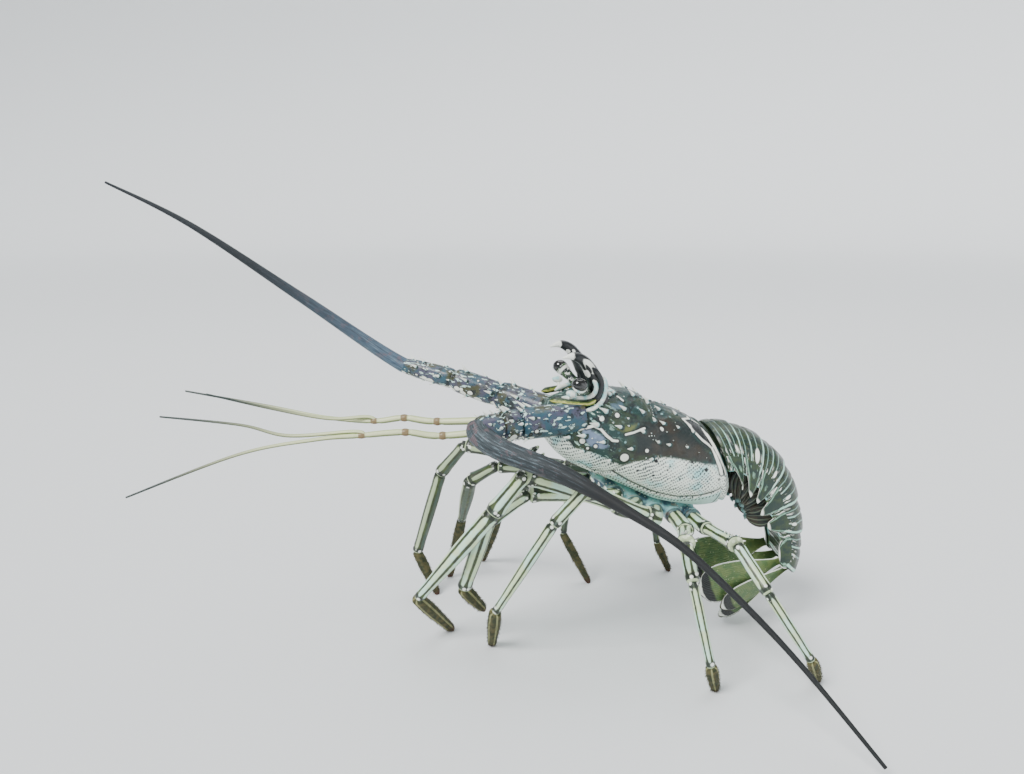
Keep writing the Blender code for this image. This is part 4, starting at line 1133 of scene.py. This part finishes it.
def makeLegs(finish, footFinish, spineFinish):
    spikes = Pile()
    feet = []
    for label, joints in legs["joints"].items():
        inside, root, hip, pair, side = legRoot(label)
        knee, wrist, ankle, toe = (np.array(joint, float) for joint in joints)
        slim = legs["farSlim"] if side > 0 else 1.0
        # the far legs carry painted shade, the near ones none
        shade = legs["farShade"] if side > 0 else 0.0
        # upper leg: a short length from the body, then the long one to the knee
        a, b, c = (radius * slim for radius in legs["upper"][pair])
        pile = Pile()
        split = hip + (knee - hip) * 0.14
        rows = [(*(root + (inside - root) * 0.1), a * 0.9), (*root, a), (*hip, a), (*split, a * 0.98)]
        limbLength(pile, rows, legs["hipSwell"], shade)
        stop = knee - unit(knee - hip) * c * 0.35
        rows = [(*split, a * 0.96), (*(split + (knee - split) * 0.45), b), (*stop, c)]
        line, radius = limbLength(pile, rows, limbSwell, shade)
        pile.make("leg_%s_thigh" % label, finish, ["leg_%s_upper" % label], "limb")
        ways, flats, aboves = carry(line[:, :3])
        for part, angle, length in legs["spikes"]:
            k, turn = int(part * (len(line) - 1)), math.radians(angle)
            out = flats[k] * math.cos(turn) + aboves[k] * math.sin(turn)
            addSpine(spikes, line[k, :3] + out * radius[k] * 0.95, out + ways[k] * 0.8, length * slim,
                     1.4 * slim, ways[k] * 0.2, rows=7, sides=8)
        # lower leg: a short wrist length and the long shin
        a, b, c = (radius * slim for radius in legs["lower"][pair])
        pile = Pile()
        way = unit(wrist - knee)
        rows = [(*knee, a * 0.94), (*(knee + (wrist - knee) * 0.5), a * 0.96),
                (*(wrist - way * 0.6), b * 0.98)]
        limbLength(pile, rows, legs["wristSwell"], shade)
        way = unit(ankle - wrist)
        mid = wrist + (ankle - wrist) * 0.35
        limbLength(pile, [(*wrist, b * 0.94), (*mid, b), (*(ankle - way * 1.5), c)], limbSwell, shade)
        pile.make("leg_%s_shin" % label, finish, ["leg_%s_lower" % label], "limb")
        # foot: a blunt tapered claw
        a, b, c = (radius * slim for radius in legs["foot"][pair])
        heel = toe + np.array((0, 0, 3.0))
        rows = [(*ankle, a), (*(ankle + (heel - ankle) * 0.35), b),
                (*(ankle + (heel - ankle) * 0.75), b * 0.8), (*heel, c),
                (*(toe + np.array((0, 0, 0.2))), legs["footFlat"])]
        line, run = smoothLine(rows, 0.7)
        rings, facts = tubeRings(line[:, :3], line[:, 3], 22, domes=(1.5, 0))
        pile = Pile()
        pile.loft(rings, shade=shade, **facts)
        pile.make("leg_%s_claw" % label, footFinish, ["leg_%s_foot" % label], "foot")
        feet.append((line, run))
    spikes.make("leg_spikes", spineFinish, [], "limb")
    return feet


legTones = {
    "moss": tone(0.27, 0.33, 0.16),
    "mint": tone(0.8, 0.94, 0.87),
    # dark tone of the painted shade on the far legs
    "shaded": tone(0.16, 0.24, 0.18),
    "knee": tone(0.07, 0.12, 0.07),
    "claw": tone(0.33, 0.31, 0.18),
    "clawRidge": tone(0.6, 0.6, 0.42),
    "clawTip": tone(0.26, 0.13, 0.09),
    "hair": tone(0.15, 0.16, 0.09),
    "paleHair": tone(0.3, 0.28, 0.16),
    "hairTip": tone(0.5, 0.49, 0.34),
    "blush": tone(0.72, 0.6, 0.48),
}


def legPaint():
    f = Finish("legPaint", 0.42, coat=0.25)
    p = {**palette, **legTones}
    angle = f.calc("ARCTAN2", f.fact("sine"), f.fact("cosine"))
    wave = f.noise(60, 3)
    shift = (wave - 0.5) * 1.3
    lines = f.calc("COSINE", angle * 6.0 + shift)
    grain = (f.noise(300, 3) - 0.5) * 0.7
    ends = f.calc("MINIMUM", f.fact("fromEnd"), f.fact("fromStart") + 1.5)
    narrow = f.fade(ends, 9.0, 3.0, high=0.9)
    stripe = f.fade(lines + grain - narrow, -0.75, 0.0)
    f.lay(f.mix(f.fade(f.noise(130, 3), 0.4, 0.65), p["darkOlive"], p["moss"]))
    pale = f.mix(f.fade(wave, 0.4, 0.62), p["leaf"], p["mint"])
    # painted shade: the pale stripes of the far legs turn dark
    shaded = f.mix(f.fact("shade"), pale, p["shaded"])
    # painted highlight: a pale line along both sides of the shaded far legs
    edge = f.fade(abs(f.fact("cosine")), 0.9, 0.97, high=0.7) * f.fact("shade")
    shaded = f.mix(edge, shaded, p["leaf"])
    f.lay(shaded, stripe)
    rough = ends + (f.noise(240, 2) - 0.5) * 4.0
    f.lay(p["knee"], f.fade(rough, 5.2, 3.4, high=0.92))
    dots = f.fade(f.cells(210), 0.36, 0.26) * f.fade(ends, 7.0, 4.5)
    f.lay(p["milk"], dots * 0.95)
    f.lay(p["leaf"], f.fade(ends, 0.7, 0.3, high=0.7))
    f.relief(f.noise(380, 3) + lines * 0.4, 0.4, 0.8)
    return f.done(f.fade(wave, 0.3, 0.7, low=0.35, high=0.55))


def clawPaint():
    f = Finish("clawPaint", 0.75)
    p = {**palette, **legTones}
    f.lay(f.mix(f.fade(f.noise(200, 3), 0.4, 0.62), p["darkOlive"], p["claw"]))
    ridges = f.calc("COSINE", f.calc("ARCTAN2", f.fact("sine"), f.fact("cosine")) * 5.0)
    # painted shade: the far feet lose their pale ridges and stay dark
    near = 1.0 - f.fact("shade")
    f.lay(p["clawRidge"], f.fade(ridges, 0.5, 0.9, high=0.8) * near)
    f.lay(p["clawTip"], f.fade(f.fact("share"), 0.84, 0.97, high=0.8))
    f.relief(f.noise(500, 3), 0.4, 0.8)
    return f.done()


def hairPaint():
    f = Finish("hairPaint", 0.7)
    p = {**palette, **legTones}
    f.lay(f.mix(f.fade(f.noise(150, 2), 0.4, 0.65), p["hair"], p["paleHair"]))
    f.lay(p["hairTip"], f.fade(f.fact("tip"), 0.5, 1.0, high=0.6))
    return f.done()


def makeFootHairs(feet, finish):
    pile = Pile()
    for number, (line, run) in enumerate(feet):
        count = legs["bristles"]
        share = chance.uniform(0.03, 0.93, count)
        at = share * run[-1]
        place = np.stack([np.interp(at, run, line[:, k]) for k in range(3)], 1)
        thick = np.interp(at, run, line[:, 3])
        ways, flats, aboves = carry(line[:, :3])
        k = np.clip(np.searchsorted(run, at), 0, len(run) - 1)
        turn = chance.uniform(0, 2 * math.pi, count)
        out = flats[k] * np.cos(turn)[:, None] + aboves[k] * np.sin(turn)[:, None]
        lean = chance.uniform(*legs["bristleLean"], count)[:, None]
        way = unit(out + ways[k] * lean)
        length = chance.uniform(*legs["bristleLength"], count)
        length *= np.interp(share, (0, 0.2, 0.8, 1), (0.6, 1, 0.9, 0.6))
        roots = place + out * (thick * 0.92)[:, None]
        reach = np.where(way[:, 2] < -0.05, (roots[:, 2] - 0.3) / -way[:, 2], 99)
        length = np.clip(np.minimum(length, reach), 0.4, None)
        keep = roots[:, 2] > 1.2
        # each foot has its own strip of the coat map
        places = np.stack((0.01 + 0.095 * number + 0.08 * turn / (2 * math.pi), 0.02 + 0.9 * share), 1)
        bends = -out * chance.uniform(0.0, 0.25, count)[:, None]
        addHairs(pile, roots[keep], way[keep], length[keep], legs["bristleWidth"], bends[keep],
                 places[keep])
    pile.make("claw_bristles", finish, [], "foot", coatMap=True)


def makeMouthLegs(finish):
    rows = ((28, 8, -75, 5.0), (8, 9.5, -77, 5.2), (-14, 11, -73, 4.6), (-23, 10, -63, 3.6),
            (-20, 8, -56, 1.2))
    for word, side in (("left", -1), ("right", 1)):
        pile = Pile()
        points = [(*onBody(x, side * y, z), r) for x, y, z, r in rows]
        for a, b in ((0, 2), (2, 4)):
            # the mouth legs under the head take a quarter of the painted shade
            limbLength(pile, points[a:b + 1], limbSwell, 0.25, sides=20)
        pile.make("mouth_leg_%s_jointed" % word, finish, ["mouth_leg_" + word], "limb")


def makeBelly(finish):
    # along, top, bottom, half width
    rows = ((26, -63.5, -69, 8), (40, -67, -76, 12), (58, -71, -84, 17), (76, -74, -88, 21),
            (94, -74.6, -88, 23), (112, -74.4, -84, 20))
    fine = curveRow(rows, np.linspace(0, len(rows) - 1, 60))
    turn = np.arange(40) * 2 * math.pi / 40
    rings = []
    for x, top, bottom, half in fine:
        middle, deep = (top + bottom) / 2, (top - bottom) / 2
        crest = 1 + 0.06 * math.cos((x - 26) / 17 * 2 * math.pi)
        y = np.sign(np.cos(turn)) * np.abs(np.cos(turn)) ** 0.8 * half * crest
        z = middle + np.sign(np.sin(turn)) * np.abs(np.sin(turn)) ** 0.8 * deep * crest
        rings.append(onBody(x + 0 * y, y, z))
    pile = Pile()
    pile.loft(np.array(rings), fromEnd=50.0)
    radius = legs["coxaRadius"]
    for label in legs["joints"]:
        inside, root = legRoot(label)[:2]
        rows = [(*inside, radius), (*(inside + (root - inside) * 0.5), radius), (*root, radius * 0.94)]
        limbLength(pile, rows, legs["coxaSwell"], 0.0, sides=24)
    pile.make("under_plate", finish, ["sternum"], "belly")


def bellyPaint():
    f = Finish("bellyPaint", 0.5, coat=0.2)
    p = {**palette, **legTones}
    f.lay(f.mix(f.fade(f.noise(75, 3), 0.4, 0.62), p["aqua"], p["steel"]))
    f.lay(p["blush"], f.fade(f.noise(130, 3), 0.55, 0.68, high=0.6))
    f.lay(p["milk"], f.fade(f.cells(300), 0.3, 0.16, high=0.7))
    f.lay(p["deep"], f.fade(f.fact("fromEnd"), 3.2, 1.4, high=0.8))
    f.relief(f.noise(320, 3), 0.4, 0.7)
    return f.done()


tail = {
    "curl": (176.0, 4.0, 100.0),
    # angle round the curl, reach, half width, trunk depth, flank depth, yaw
    "rows": ((106.5, 79, 30, 30, 38, 15), (92.5, 74.2, 31, 31, 45, 13), (69.6, 66, 31, 31, 42, 10),
             (44.4, 60.5, 30, 29, 37, 7), (13.3, 57, 28.5, 27, 34, 4), (-14, 62, 26.5, 24, 31, 2),
             (-42, 74, 23, 17, 19, 0)),
    "back": ((0, 0), (0.34, 0.05), (0.62, 0.19), (0.83, 0.42), (0.95, 0.74), (1.0, 1.04)),
    "steps": 30,
    "lift": ((0.0, -0.6), (0.1, 0.3), (0.34, 1.2), (0.42, 0.2), (0.5, 1.3), (0.8, 1.9), (0.95, 2.1),
             (1.0, 1.2)),
    # top and bottom of the shell's rear edge, which the first ring leaves in line
    "edge": ((107.5, 0, -9.6), (136, 0, -58)),
}


def tailFrame(value):
    angle, reach, half, trunk, flank, yaw = value
    turn, swing = math.radians(angle), math.radians(yaw)
    outward = np.array((math.cos(turn) * math.cos(swing), math.cos(turn) * math.sin(swing), math.sin(turn)))
    across = np.array((-math.sin(swing), math.cos(swing), 0.0))
    return np.array(tail["curl"]) + outward * reach, outward, across, half, trunk, flank


def mixRow(a, b, t):
    return [p + (q - p) * t for p, q in zip(a, b)]


def ringFrame(first, last, t, number):
    # the frame at a share of the way along a ring, with its half width and depths
    place, outward, across, wide, trunk, flank = tailFrame(mixRow(first, last, t))
    blend = max(0.0, 1 - t) if number == 0 else 0.0
    top, bottom = (onBody(*corner) for corner in tail["edge"])
    across = unit(across * (1 - blend) + rightward * blend)
    down = unit(-outward * (1 - blend) + unit(bottom - top) * blend)
    return place, across, down, wide, trunk, flank


def tailOutline():
    # half of the trunk's outline, ridge to belly, as shares of half width and trunk depth
    back = curveRow(tail["back"], np.linspace(0, 5, 34))
    belly = np.array(((0.97, 1.1), (0.86, 1.1), (0.6, 1.03), (0.3, 1.0), (0.0, 1.0)))
    return np.concatenate((back, curveRow(belly, np.linspace(0, 4, 12))))


def makeTail(finish, plateFinish, finFinish):
    half = tailOutline()
    outline = np.concatenate((half, half[-2:0:-1] * np.array((-1, 1))))
    over, depth = outline.T
    knots = np.array(tail["lift"])
    sidePlates, fins = Pile(), Pile()
    for number in range(6):
        first, last = tail["rows"][number], tail["rows"][number + 1]
        pile = Pile()
        rings = []
        steps = np.linspace(0, 1, tail["steps"])
        for t in steps:
            place, across, down, wide, trunk = ringFrame(first, last, t, number)[:5]
            lift = np.interp(t, knots[:, 0], knots[:, 1])
            backness = soft(depth, 1.05, 0.7)
            drop = depth * trunk - lift * backness * (1 - 0.5 * depth)
            spread = over * (wide + 0.6 * lift * backness * np.abs(over))
            rings.append(place + across * spread[:, None] + down * drop[:, None])
        pile.loft(np.array(rings), step=steps[:, None], over=over, down=depth, number=number)
        pile.make("tail_ring_%d" % (number + 1), finish, ["tail_segment_%d" % (number + 1)], "shell")
        addSidePlates(sidePlates, first, last, number)
        if 0 < number < 5:
            addSwimmerets(fins, mixRow(first, last, 0.5))
    sidePlates.make("tail_side_plates", plateFinish, [], "shell")
    fins.make("swimmerets", finFinish, [], "fan")


def addSidePlates(pile, first, last, number):
    # pointed plates that hang beside the belly, leaning towards the fan
    shares, turns = np.linspace(0, 1, 26), np.arange(28) * 2 * math.pi / 28
    for side in (-1, 1):
        rings = []
        for s in shares:
            start = 0.06 + 0.66 * s ** 1.7
            end = 0.98 + 0.10 * math.sin(s * 2.4)
            if s > 0.9:
                middle = end - 0.05
                shrink = math.sqrt(max(0.0, 1 - ((s - 0.9) / 0.1) ** 2)) * 0.98 + 0.02
                start, end = middle + (start - middle) * shrink, middle + (end - middle) * shrink
            ring = []
            for turn in turns:
                t = (start + end) / 2 + (end - start) / 2 * math.cos(turn)
                place, across, down, wide, trunk, flank = ringFrame(first, last, t, number)
                deep = trunk * 0.66 + (flank + 2.5 - trunk * 0.66) * s
                thick = 1.7 * (1 - 0.5 * s) * math.sin(turn)
                bow = wide * (0.94 + 0.05 * math.sin(min(s * 1.6, 1.0) * math.pi / 2)) - 1.6 * s * s
                ring.append(place + across * side * (bow + thick) + down * deep)
            rings.append(ring)
        pile.loft(np.array(rings), depth=shares[:, None], edge=np.abs(np.sin(turns)))


def addSwimmerets(pile, row):
    # a pair of leaf-shaped fins under a tail ring
    place, outward, across, wide, trunk = tailFrame(row)[:5]
    length = 0.36 * (row[1] - trunk) * 1.8 + 3
    back = np.cross(outward, across)
    shares, turn = np.linspace(0, 1, 26), np.arange(30) * 2 * math.pi / 30
    u = np.cos(turn)
    for side in (-1, 1):
        root = place - outward * (trunk - 1) + across * side * wide * 0.45
        rings = []
        for s in shares:
            leaf = 0.25 + 0.75 * math.sin(math.pi * min(1, s * 1.08 + 0.05)) ** 0.7 if s < 0.93 else 0.45
            leaf *= math.sqrt(max(0.0, 1 - max(0, (s - 0.86) / 0.14) ** 2)) * 0.97 + 0.03
            thick = 0.9 * np.sin(turn) * (1 - 0.4 * s) * (1 + 0.25 * np.cos(u * 9 * math.pi / 2))
            cup = 2.2 * (u ** 2) * side
            centre = root - outward * (s * length)
            rings.append(centre + np.outer(thick + cup, across) + np.outer(u * (9.5 * leaf), back))
        pile.loft(np.array(rings), share=shares[:, None], over=u)


tailTones = {
    "ring": tone(0.08, 0.17, 0.14),
    "ringMoss": tone(0.17, 0.24, 0.13),
    "speck": tone(0.3, 0.33, 0.18),
    "line": tone(0.7, 0.9, 0.82),
    "belly": tone(0.35, 0.45, 0.3),
    "plate": tone(0.09, 0.18, 0.15),
    "plateMoss": tone(0.19, 0.26, 0.14),
    "streak": tone(0.6, 0.78, 0.68),
    "fin": tone(0.07, 0.12, 0.12),
    "finBrown": tone(0.2, 0.18, 0.14),
    "finRay": tone(0.45, 0.5, 0.42),
}


def tailPaint():
    f = Finish("tailPaint", 0.36, coat=0.35, coatRough=0.25)
    p = {**palette, **tailTones}
    step, over, down = f.fact("step"), f.fact("over"), f.fact("down")
    sway = (f.noise(70, 2) - 0.5) * 0.12
    t = step + sway
    f.lay(f.mix(f.fade(f.noise(160, 4), 0.4, 0.64), p["ring"], p["ringMoss"]))
    f.lay(p["speck"], f.fade(f.noise(420, 3), 0.52, 0.64, high=0.5))
    f.lay(p["steel"], f.fade(f.cells(420), 0.26, 0.12, high=0.4))
    # pale lines across each ring, at its groove and its rear edge
    sides = f.fade(abs(over), 0.15, 0.6, low=0.3, high=1.0)
    lines = ((0.40, 0.030, 0.9), (0.92, 0.042, 1.0), (0.63, 0.020, 0.5), (0.17, 0.018, 0.45))
    for middle, wide, strength in lines:
        away = abs(t - middle)
        f.lay(p["ink"], f.fade(away, wide * 2.4, wide * 1.2, high=0.7))
        f.lay(p["line"], f.fade(away, wide * 1.3, wide * 0.5, high=strength) * sides)
    f.lay(p["ink"], f.fade(step, 0.965, 0.985, high=0.9))
    # a pale spot on each side of the rings before the last, and flecks below them
    for number, depth, size in ((1, 0.5, 0.10), (2, 0.55, 0.06), (3, 0.5, 0.055), (4, 0.5, 0.055),
                                (0, 0.5, 0.05)):
        same = f.fade(abs(f.fact("number") - number), 0.4, 0.2)
        spot = f.oval(step, down, (0.66, depth), (size, size * 1.7))
        f.lay(p["milk"], spot * same)
    flecks = f.noise(1.0, 3, f.vector(t * 14.0, down * 3.0, f.fact("number")))
    low = f.fade(down, 0.35, 0.62) * f.fade(flecks, 0.56, 0.6)
    f.lay(p["milk"], low * 0.9)
    under = f.fade(down, 1.06, 1.09)
    bands = f.calc("SINE", step * (4 * math.pi))
    belly = f.mix(f.fade(bands, 0.2, 0.5), p["belly"], p["aqua"])
    f.lay(belly, under)
    f.relief(f.noise(300, 3) + f.fade(f.cells(420), 0.3, 0.0), 0.3, 0.6)
    return f.done(f.fade(f.noise(200, 2), 0.3, 0.7, low=0.32, high=0.5))


def sidePlatePaint():
    f = Finish("sidePlatePaint", 0.4, coat=0.3)
    p = {**palette, **tailTones}
    edge, depth = f.fact("edge"), f.fact("depth")
    f.lay(f.mix(f.fade(f.noise(160, 4), 0.4, 0.64), p["plate"], p["plateMoss"]))
    flow = f.vector(edge * 5.0, depth * 1.2, f.noise(40, 1))
    streak = f.noise(1.0, 3, flow)
    f.lay(p["streak"], f.fade(streak, 0.54, 0.6, high=0.75))
    f.lay(p["ink"], f.fade(edge, 0.52, 0.4, high=0.8))
    f.lay(p["milk"], f.fade(edge, 0.4, 0.26))
    f.lay(p["milk"], f.fade(depth, 0.84, 0.92))
    f.relief(f.noise(300, 2), 0.3, 0.6)
    return f.done()


def finPaint():
    f = Finish("finPaint", 0.5)
    p = {**palette, **tailTones}
    rays = f.calc("COSINE", f.fact("over") * 16.0)
    f.lay(f.mix(f.fade(f.noise(120, 2), 0.4, 0.6), p["fin"], p["finBrown"]))
    f.lay(p["finRay"], f.fade(rays, 0.55, 0.95, high=0.5))
    f.lay(p["aqua"], f.fade(f.fact("share"), 0.86, 0.95, high=0.3))
    f.relief(rays, 0.3, 0.6)
    return f.done()


fan = {
    # length, half width, splay, turn about the fan, root sideways and inward
    "lobes": {
        "telson": (68, 15, 0, 0, 0.0, 0.0),
        "inner_left": (60, 16, -12, -52, -17.0, 7.0),
        "outer_left": (66, 18, -21, -74, -22.5, 19.0),
        "inner_right": (60, 16, 12, 52, 17.0, 7.0),
        "outer_right": (66, 18, 21, 74, 22.5, 19.0),
    },
    "direction": (-0.77, 0.0, -0.64),
    "thick": 1.5,
    "root": 4.0,
    "clear": 2.5,
    "rays": 9,
    "spread": ((0, 0.2), (0.12, 0.34), (0.35, 0.68), (0.6, 0.94), (0.8, 1.0), (0.93, 0.8), (1.0, 0.42)),
    "endWidth": 0.42,
    "fringe": 260,
    "fringeLength": (1.0, 1.9),
    "fringeWidth": 0.14,
}


def makeFan(finish, hairFinish):
    place, outward, across = tailFrame(tail["rows"][-1])[:3]
    forward = unit(np.array(fan["direction"]))
    inner = unit(np.cross(forward, across))
    inner = -inner if inner @ outward > 0 else inner
    hairs = Pile()
    for number, (label, (length, width, splay, turn, root, lift)) in enumerate(fan["lobes"].items()):
        angle, lean = math.radians(turn), math.radians(splay)
        wide = across * math.cos(angle) + inner * abs(math.sin(angle)) * (1 if turn >= 0 else -1)
        face = unit(np.cross(forward, wide))
        way = unit(forward * math.cos(lean) + wide * math.sin(lean))
        wide = unit(np.cross(face, way))
        start = place - outward * (fan["root"] + lift) + across * root + forward * fan["clear"]
        knots = curveRow(fan["spread"], np.linspace(0, 6, 90))
        shares = np.linspace(-0.05, 1.0, 64)
        u = np.linspace(-1, 1, 73)
        rings = []
        for share in shares:
            spread = np.interp(share, knots[:, 0], knots[:, 1])
            thick = fan["thick"] * (1 - 0.6 * max(share, 0))
            ribs = 0.78 + 0.22 * np.cos(u * fan["rays"] * math.pi) ** 2
            half = thick * (0.3 + 0.7 * np.sqrt(np.maximum(1 - u * u, 0))) * ribs
            bow = 1.6 * math.sin(max(share, 0) * math.pi) * (1 - u * u)
            reach = share - 0.04 * u * u * max(share, 0)
            line = start + np.outer(length * reach, way) + np.outer(u * width * spread, wide)
            top = line + np.outer(half + bow, face)
            low = line + np.outer(bow - half, face)
            rings.append(np.concatenate((top, low[::-1])))
        pile = Pile()
        pile.loft(np.array(rings), share=shares[:, None], over=np.concatenate((u, u[::-1])))
        node = label if label == "telson" else "fan_" + label
        pile.make(node + "_lobe", finish, [node], "fan")
        addFringe(hairs, start, way, wide, face, length, width, knots, number)
    hairs.make("fan_fringe", hairFinish, [], "fan", coatMap=True)


def addFringe(pile, start, way, wide, face, length, width, knots, number):
    # fine hairs along the round end of a fan lobe
    count, flat = fan["fringe"], fan["endWidth"]
    u = np.linspace(-1, 1, count)
    share = np.where(np.abs(u) < flat, 1.0, 1.0 - 0.22 * (np.abs(u) - flat) / 0.58)
    spread = np.interp(share, knots[:, 0], knots[:, 1])
    over = np.where(np.abs(u) < flat, u / flat * 0.98, np.sign(u) * 0.99)
    reach = length * (share - 0.04 * over ** 2) - 0.4
    roots = start + np.outer(reach, way) + np.outer(over * width * spread, wide)
    ways = unit(way + wide * (u * 0.8)[:, None] + face * chance.uniform(-0.15, 0.15, count)[:, None])
    lengths = chance.uniform(*fan["fringeLength"], count)
    floor = np.where(ways[:, 2] < -0.05, (roots[:, 2] - 0.4) / -ways[:, 2], 99)
    lengths = np.clip(np.minimum(lengths, floor), 0.3, None)
    places = np.stack((0.02 + 0.18 * number + 0.15 * (u + 1) / 2, 0.1 + 0 * u), 1)
    addHairs(pile, roots, ways, lengths, fan["fringeWidth"], np.zeros((count, 3)), places)


fanTones = {
    "lobe": tone(0.33, 0.44, 0.26),
    "lobePale": tone(0.43, 0.5, 0.29),
    "ray": tone(0.2, 0.31, 0.17),
}


def fanPaint():
    f = Finish("fanPaint", 0.45, coat=0.25)
    p = {**palette, **fanTones}
    rays = f.calc("COSINE", f.fact("over") * (2 * math.pi * fan["rays"]))
    grain = f.noise(140, 3)
    f.lay(f.mix(f.fade(grain, 0.4, 0.62), p["lobe"], p["lobePale"]))
    f.lay(p["ray"], f.fade(rays, 0.3, 0.95, high=0.35))
    edge = f.fact("share") + (grain - 0.5) * 0.05
    f.lay(p["cream"], f.fade(f.cells(300), 0.22, 0.1, high=0.35))
    f.lay(p["ink"], f.fade(edge, 0.82, 0.86))
    f.lay(p["milk"], f.fade(edge, 0.945, 0.965))
    sides = abs(f.fact("over"))
    f.lay(p["milk"], f.fade(sides + grain * 0.06, 0.985, 1.01, high=0.9))
    f.relief(rays * 0.5 + grain, 0.35, 0.7)
    return f.done()


studio = {
    "lens": 35.156,
    "eye": (0.0478, -0.7414, 0.363),
    "tilt": 78.5,
    "floor": (0.86, 0.88, 0.89, 1.0),
    "floorRadius": 5.0,
    "floorBend": 1.5,
    "wallHeight": 3.2,
    "room": (0.86, 0.91, 0.94, 1.0),
    "roomStrength": 0.45,
    # name, kind, place, angle or size, power
    "lamps": (("keyLight", "SUN", (-1.2, -1.6, 2.2), 0.45, 3.6),
              ("fillLight", "AREA", (1.8, -1.4, 0.9), 1.6, 8),
              ("topLight", "AREA", (0.3, 0.7, 2.4), 2.0, 26)),
}


def makeStudio():
    camera = bpy.data.cameras.new("viewCamera")
    camera.lens = studio["lens"]
    camera.sensor_width = 36.0
    camera.clip_start = 0.01
    holder = bpy.data.objects.new("viewCamera", camera)
    holder.location = studio["eye"]
    holder.rotation_euler = (math.radians(studio["tilt"]), 0.0, 0.0)
    bpy.context.scene.collection.objects.link(holder)
    bpy.context.scene.camera = holder

    # a round floor that curves up into a low wall, the same from every side
    flat, bend = studio["floorRadius"], studio["floorBend"]
    profile = [(0.02, 0.0), (flat * 0.5, 0.0), (flat, 0.0)]
    for a in np.radians(np.arange(7.5, 91, 7.5)):
        profile.append((flat + bend * math.sin(a), bend - bend * math.cos(a)))
    profile.append((flat + bend, studio["wallHeight"]))
    turn = np.arange(96) * 2 * math.pi / 96
    points = [(r * math.cos(a), r * math.sin(a), z) for r, z in profile for a in turn]
    faces = gridFaces(len(profile), len(turn))[:, ::-1].tolist() + [list(range(len(turn)))]
    mesh = bpy.data.meshes.new("pale_floor")
    mesh.from_pydata(points, [], faces)
    mesh.shade_smooth()
    mesh.materials.append(Finish("floorPaint", 0.9).done(colour=studio["floor"]))
    floor = bpy.data.objects.new("pale_floor", mesh)
    bpy.context.scene.collection.objects.link(floor)

    for name, kind, place, size, power in studio["lamps"]:
        light = bpy.data.lights.new(name, kind)
        light.energy = power
        if kind == "SUN":
            light.angle = size
        else:
            light.size = size
        lamp = bpy.data.objects.new(name, light)
        lamp.location = place
        aim = np.array((0.05, 0.0, 0.1)) - np.array(place)
        turn = math.atan2(aim[1], aim[0]) - math.pi / 2
        lamp.rotation_euler = (math.atan2(math.hypot(aim[0], aim[1]), -aim[2]), 0.0, turn)
        bpy.context.scene.collection.objects.link(lamp)
    world = bpy.data.worlds.new("softRoom")
    bpy.context.scene.world = world
    world.use_nodes = True
    sky = world.node_tree.nodes["Background"]
    sky.inputs["Color"].default_value = studio["room"]
    sky.inputs["Strength"].default_value = studio["roomStrength"]


makeShell(shellPaint())
spineFinish = spinePaint()
makeShellSpines(spineFinish)
print("shell made")

makeHorns(hornPaint())
milkFinish = plainPaint("milkPaint", palette["milk"], palette["aqua"])
makeEyes(eyePaint(), stalkPaint())
inkFinish = plainPaint("inkPaint", palette["ink"], palette["deep"])
makeOrbits({"inner": milkFinish, "dark": inkFinish, "green": stripePaint(), "outer": milkFinish,
            "lid": milkFinish})
print("head made")

stemFinish = stemPaint()
whips = {"right": whipPaint("farWhipPaint", "farRoot", "farTip", 0.9, 0.7),
         "left": whipPaint("nearWhipPaint", "nearRoot", "nearTip", 0.2, 0.4)}
for word in ("left", "right"):
    feelerBase(word, stemFinish, spineFinish)
    feelerWhip(word, whips[word])
makeAntennules(antennulePaint())
print("feelers made")

legFinish = legPaint()
feet = makeLegs(legFinish, clawPaint(), spineFinish)
hairFinish = hairPaint()
makeFootHairs(feet, hairFinish)
makeMouthLegs(legFinish)
makeBelly(bellyPaint())
print("legs made")

makeTail(tailPaint(), sidePlatePaint(), finPaint())
makeFan(fanPaint(), hairFinish)
print("tail made")

makeStudio()
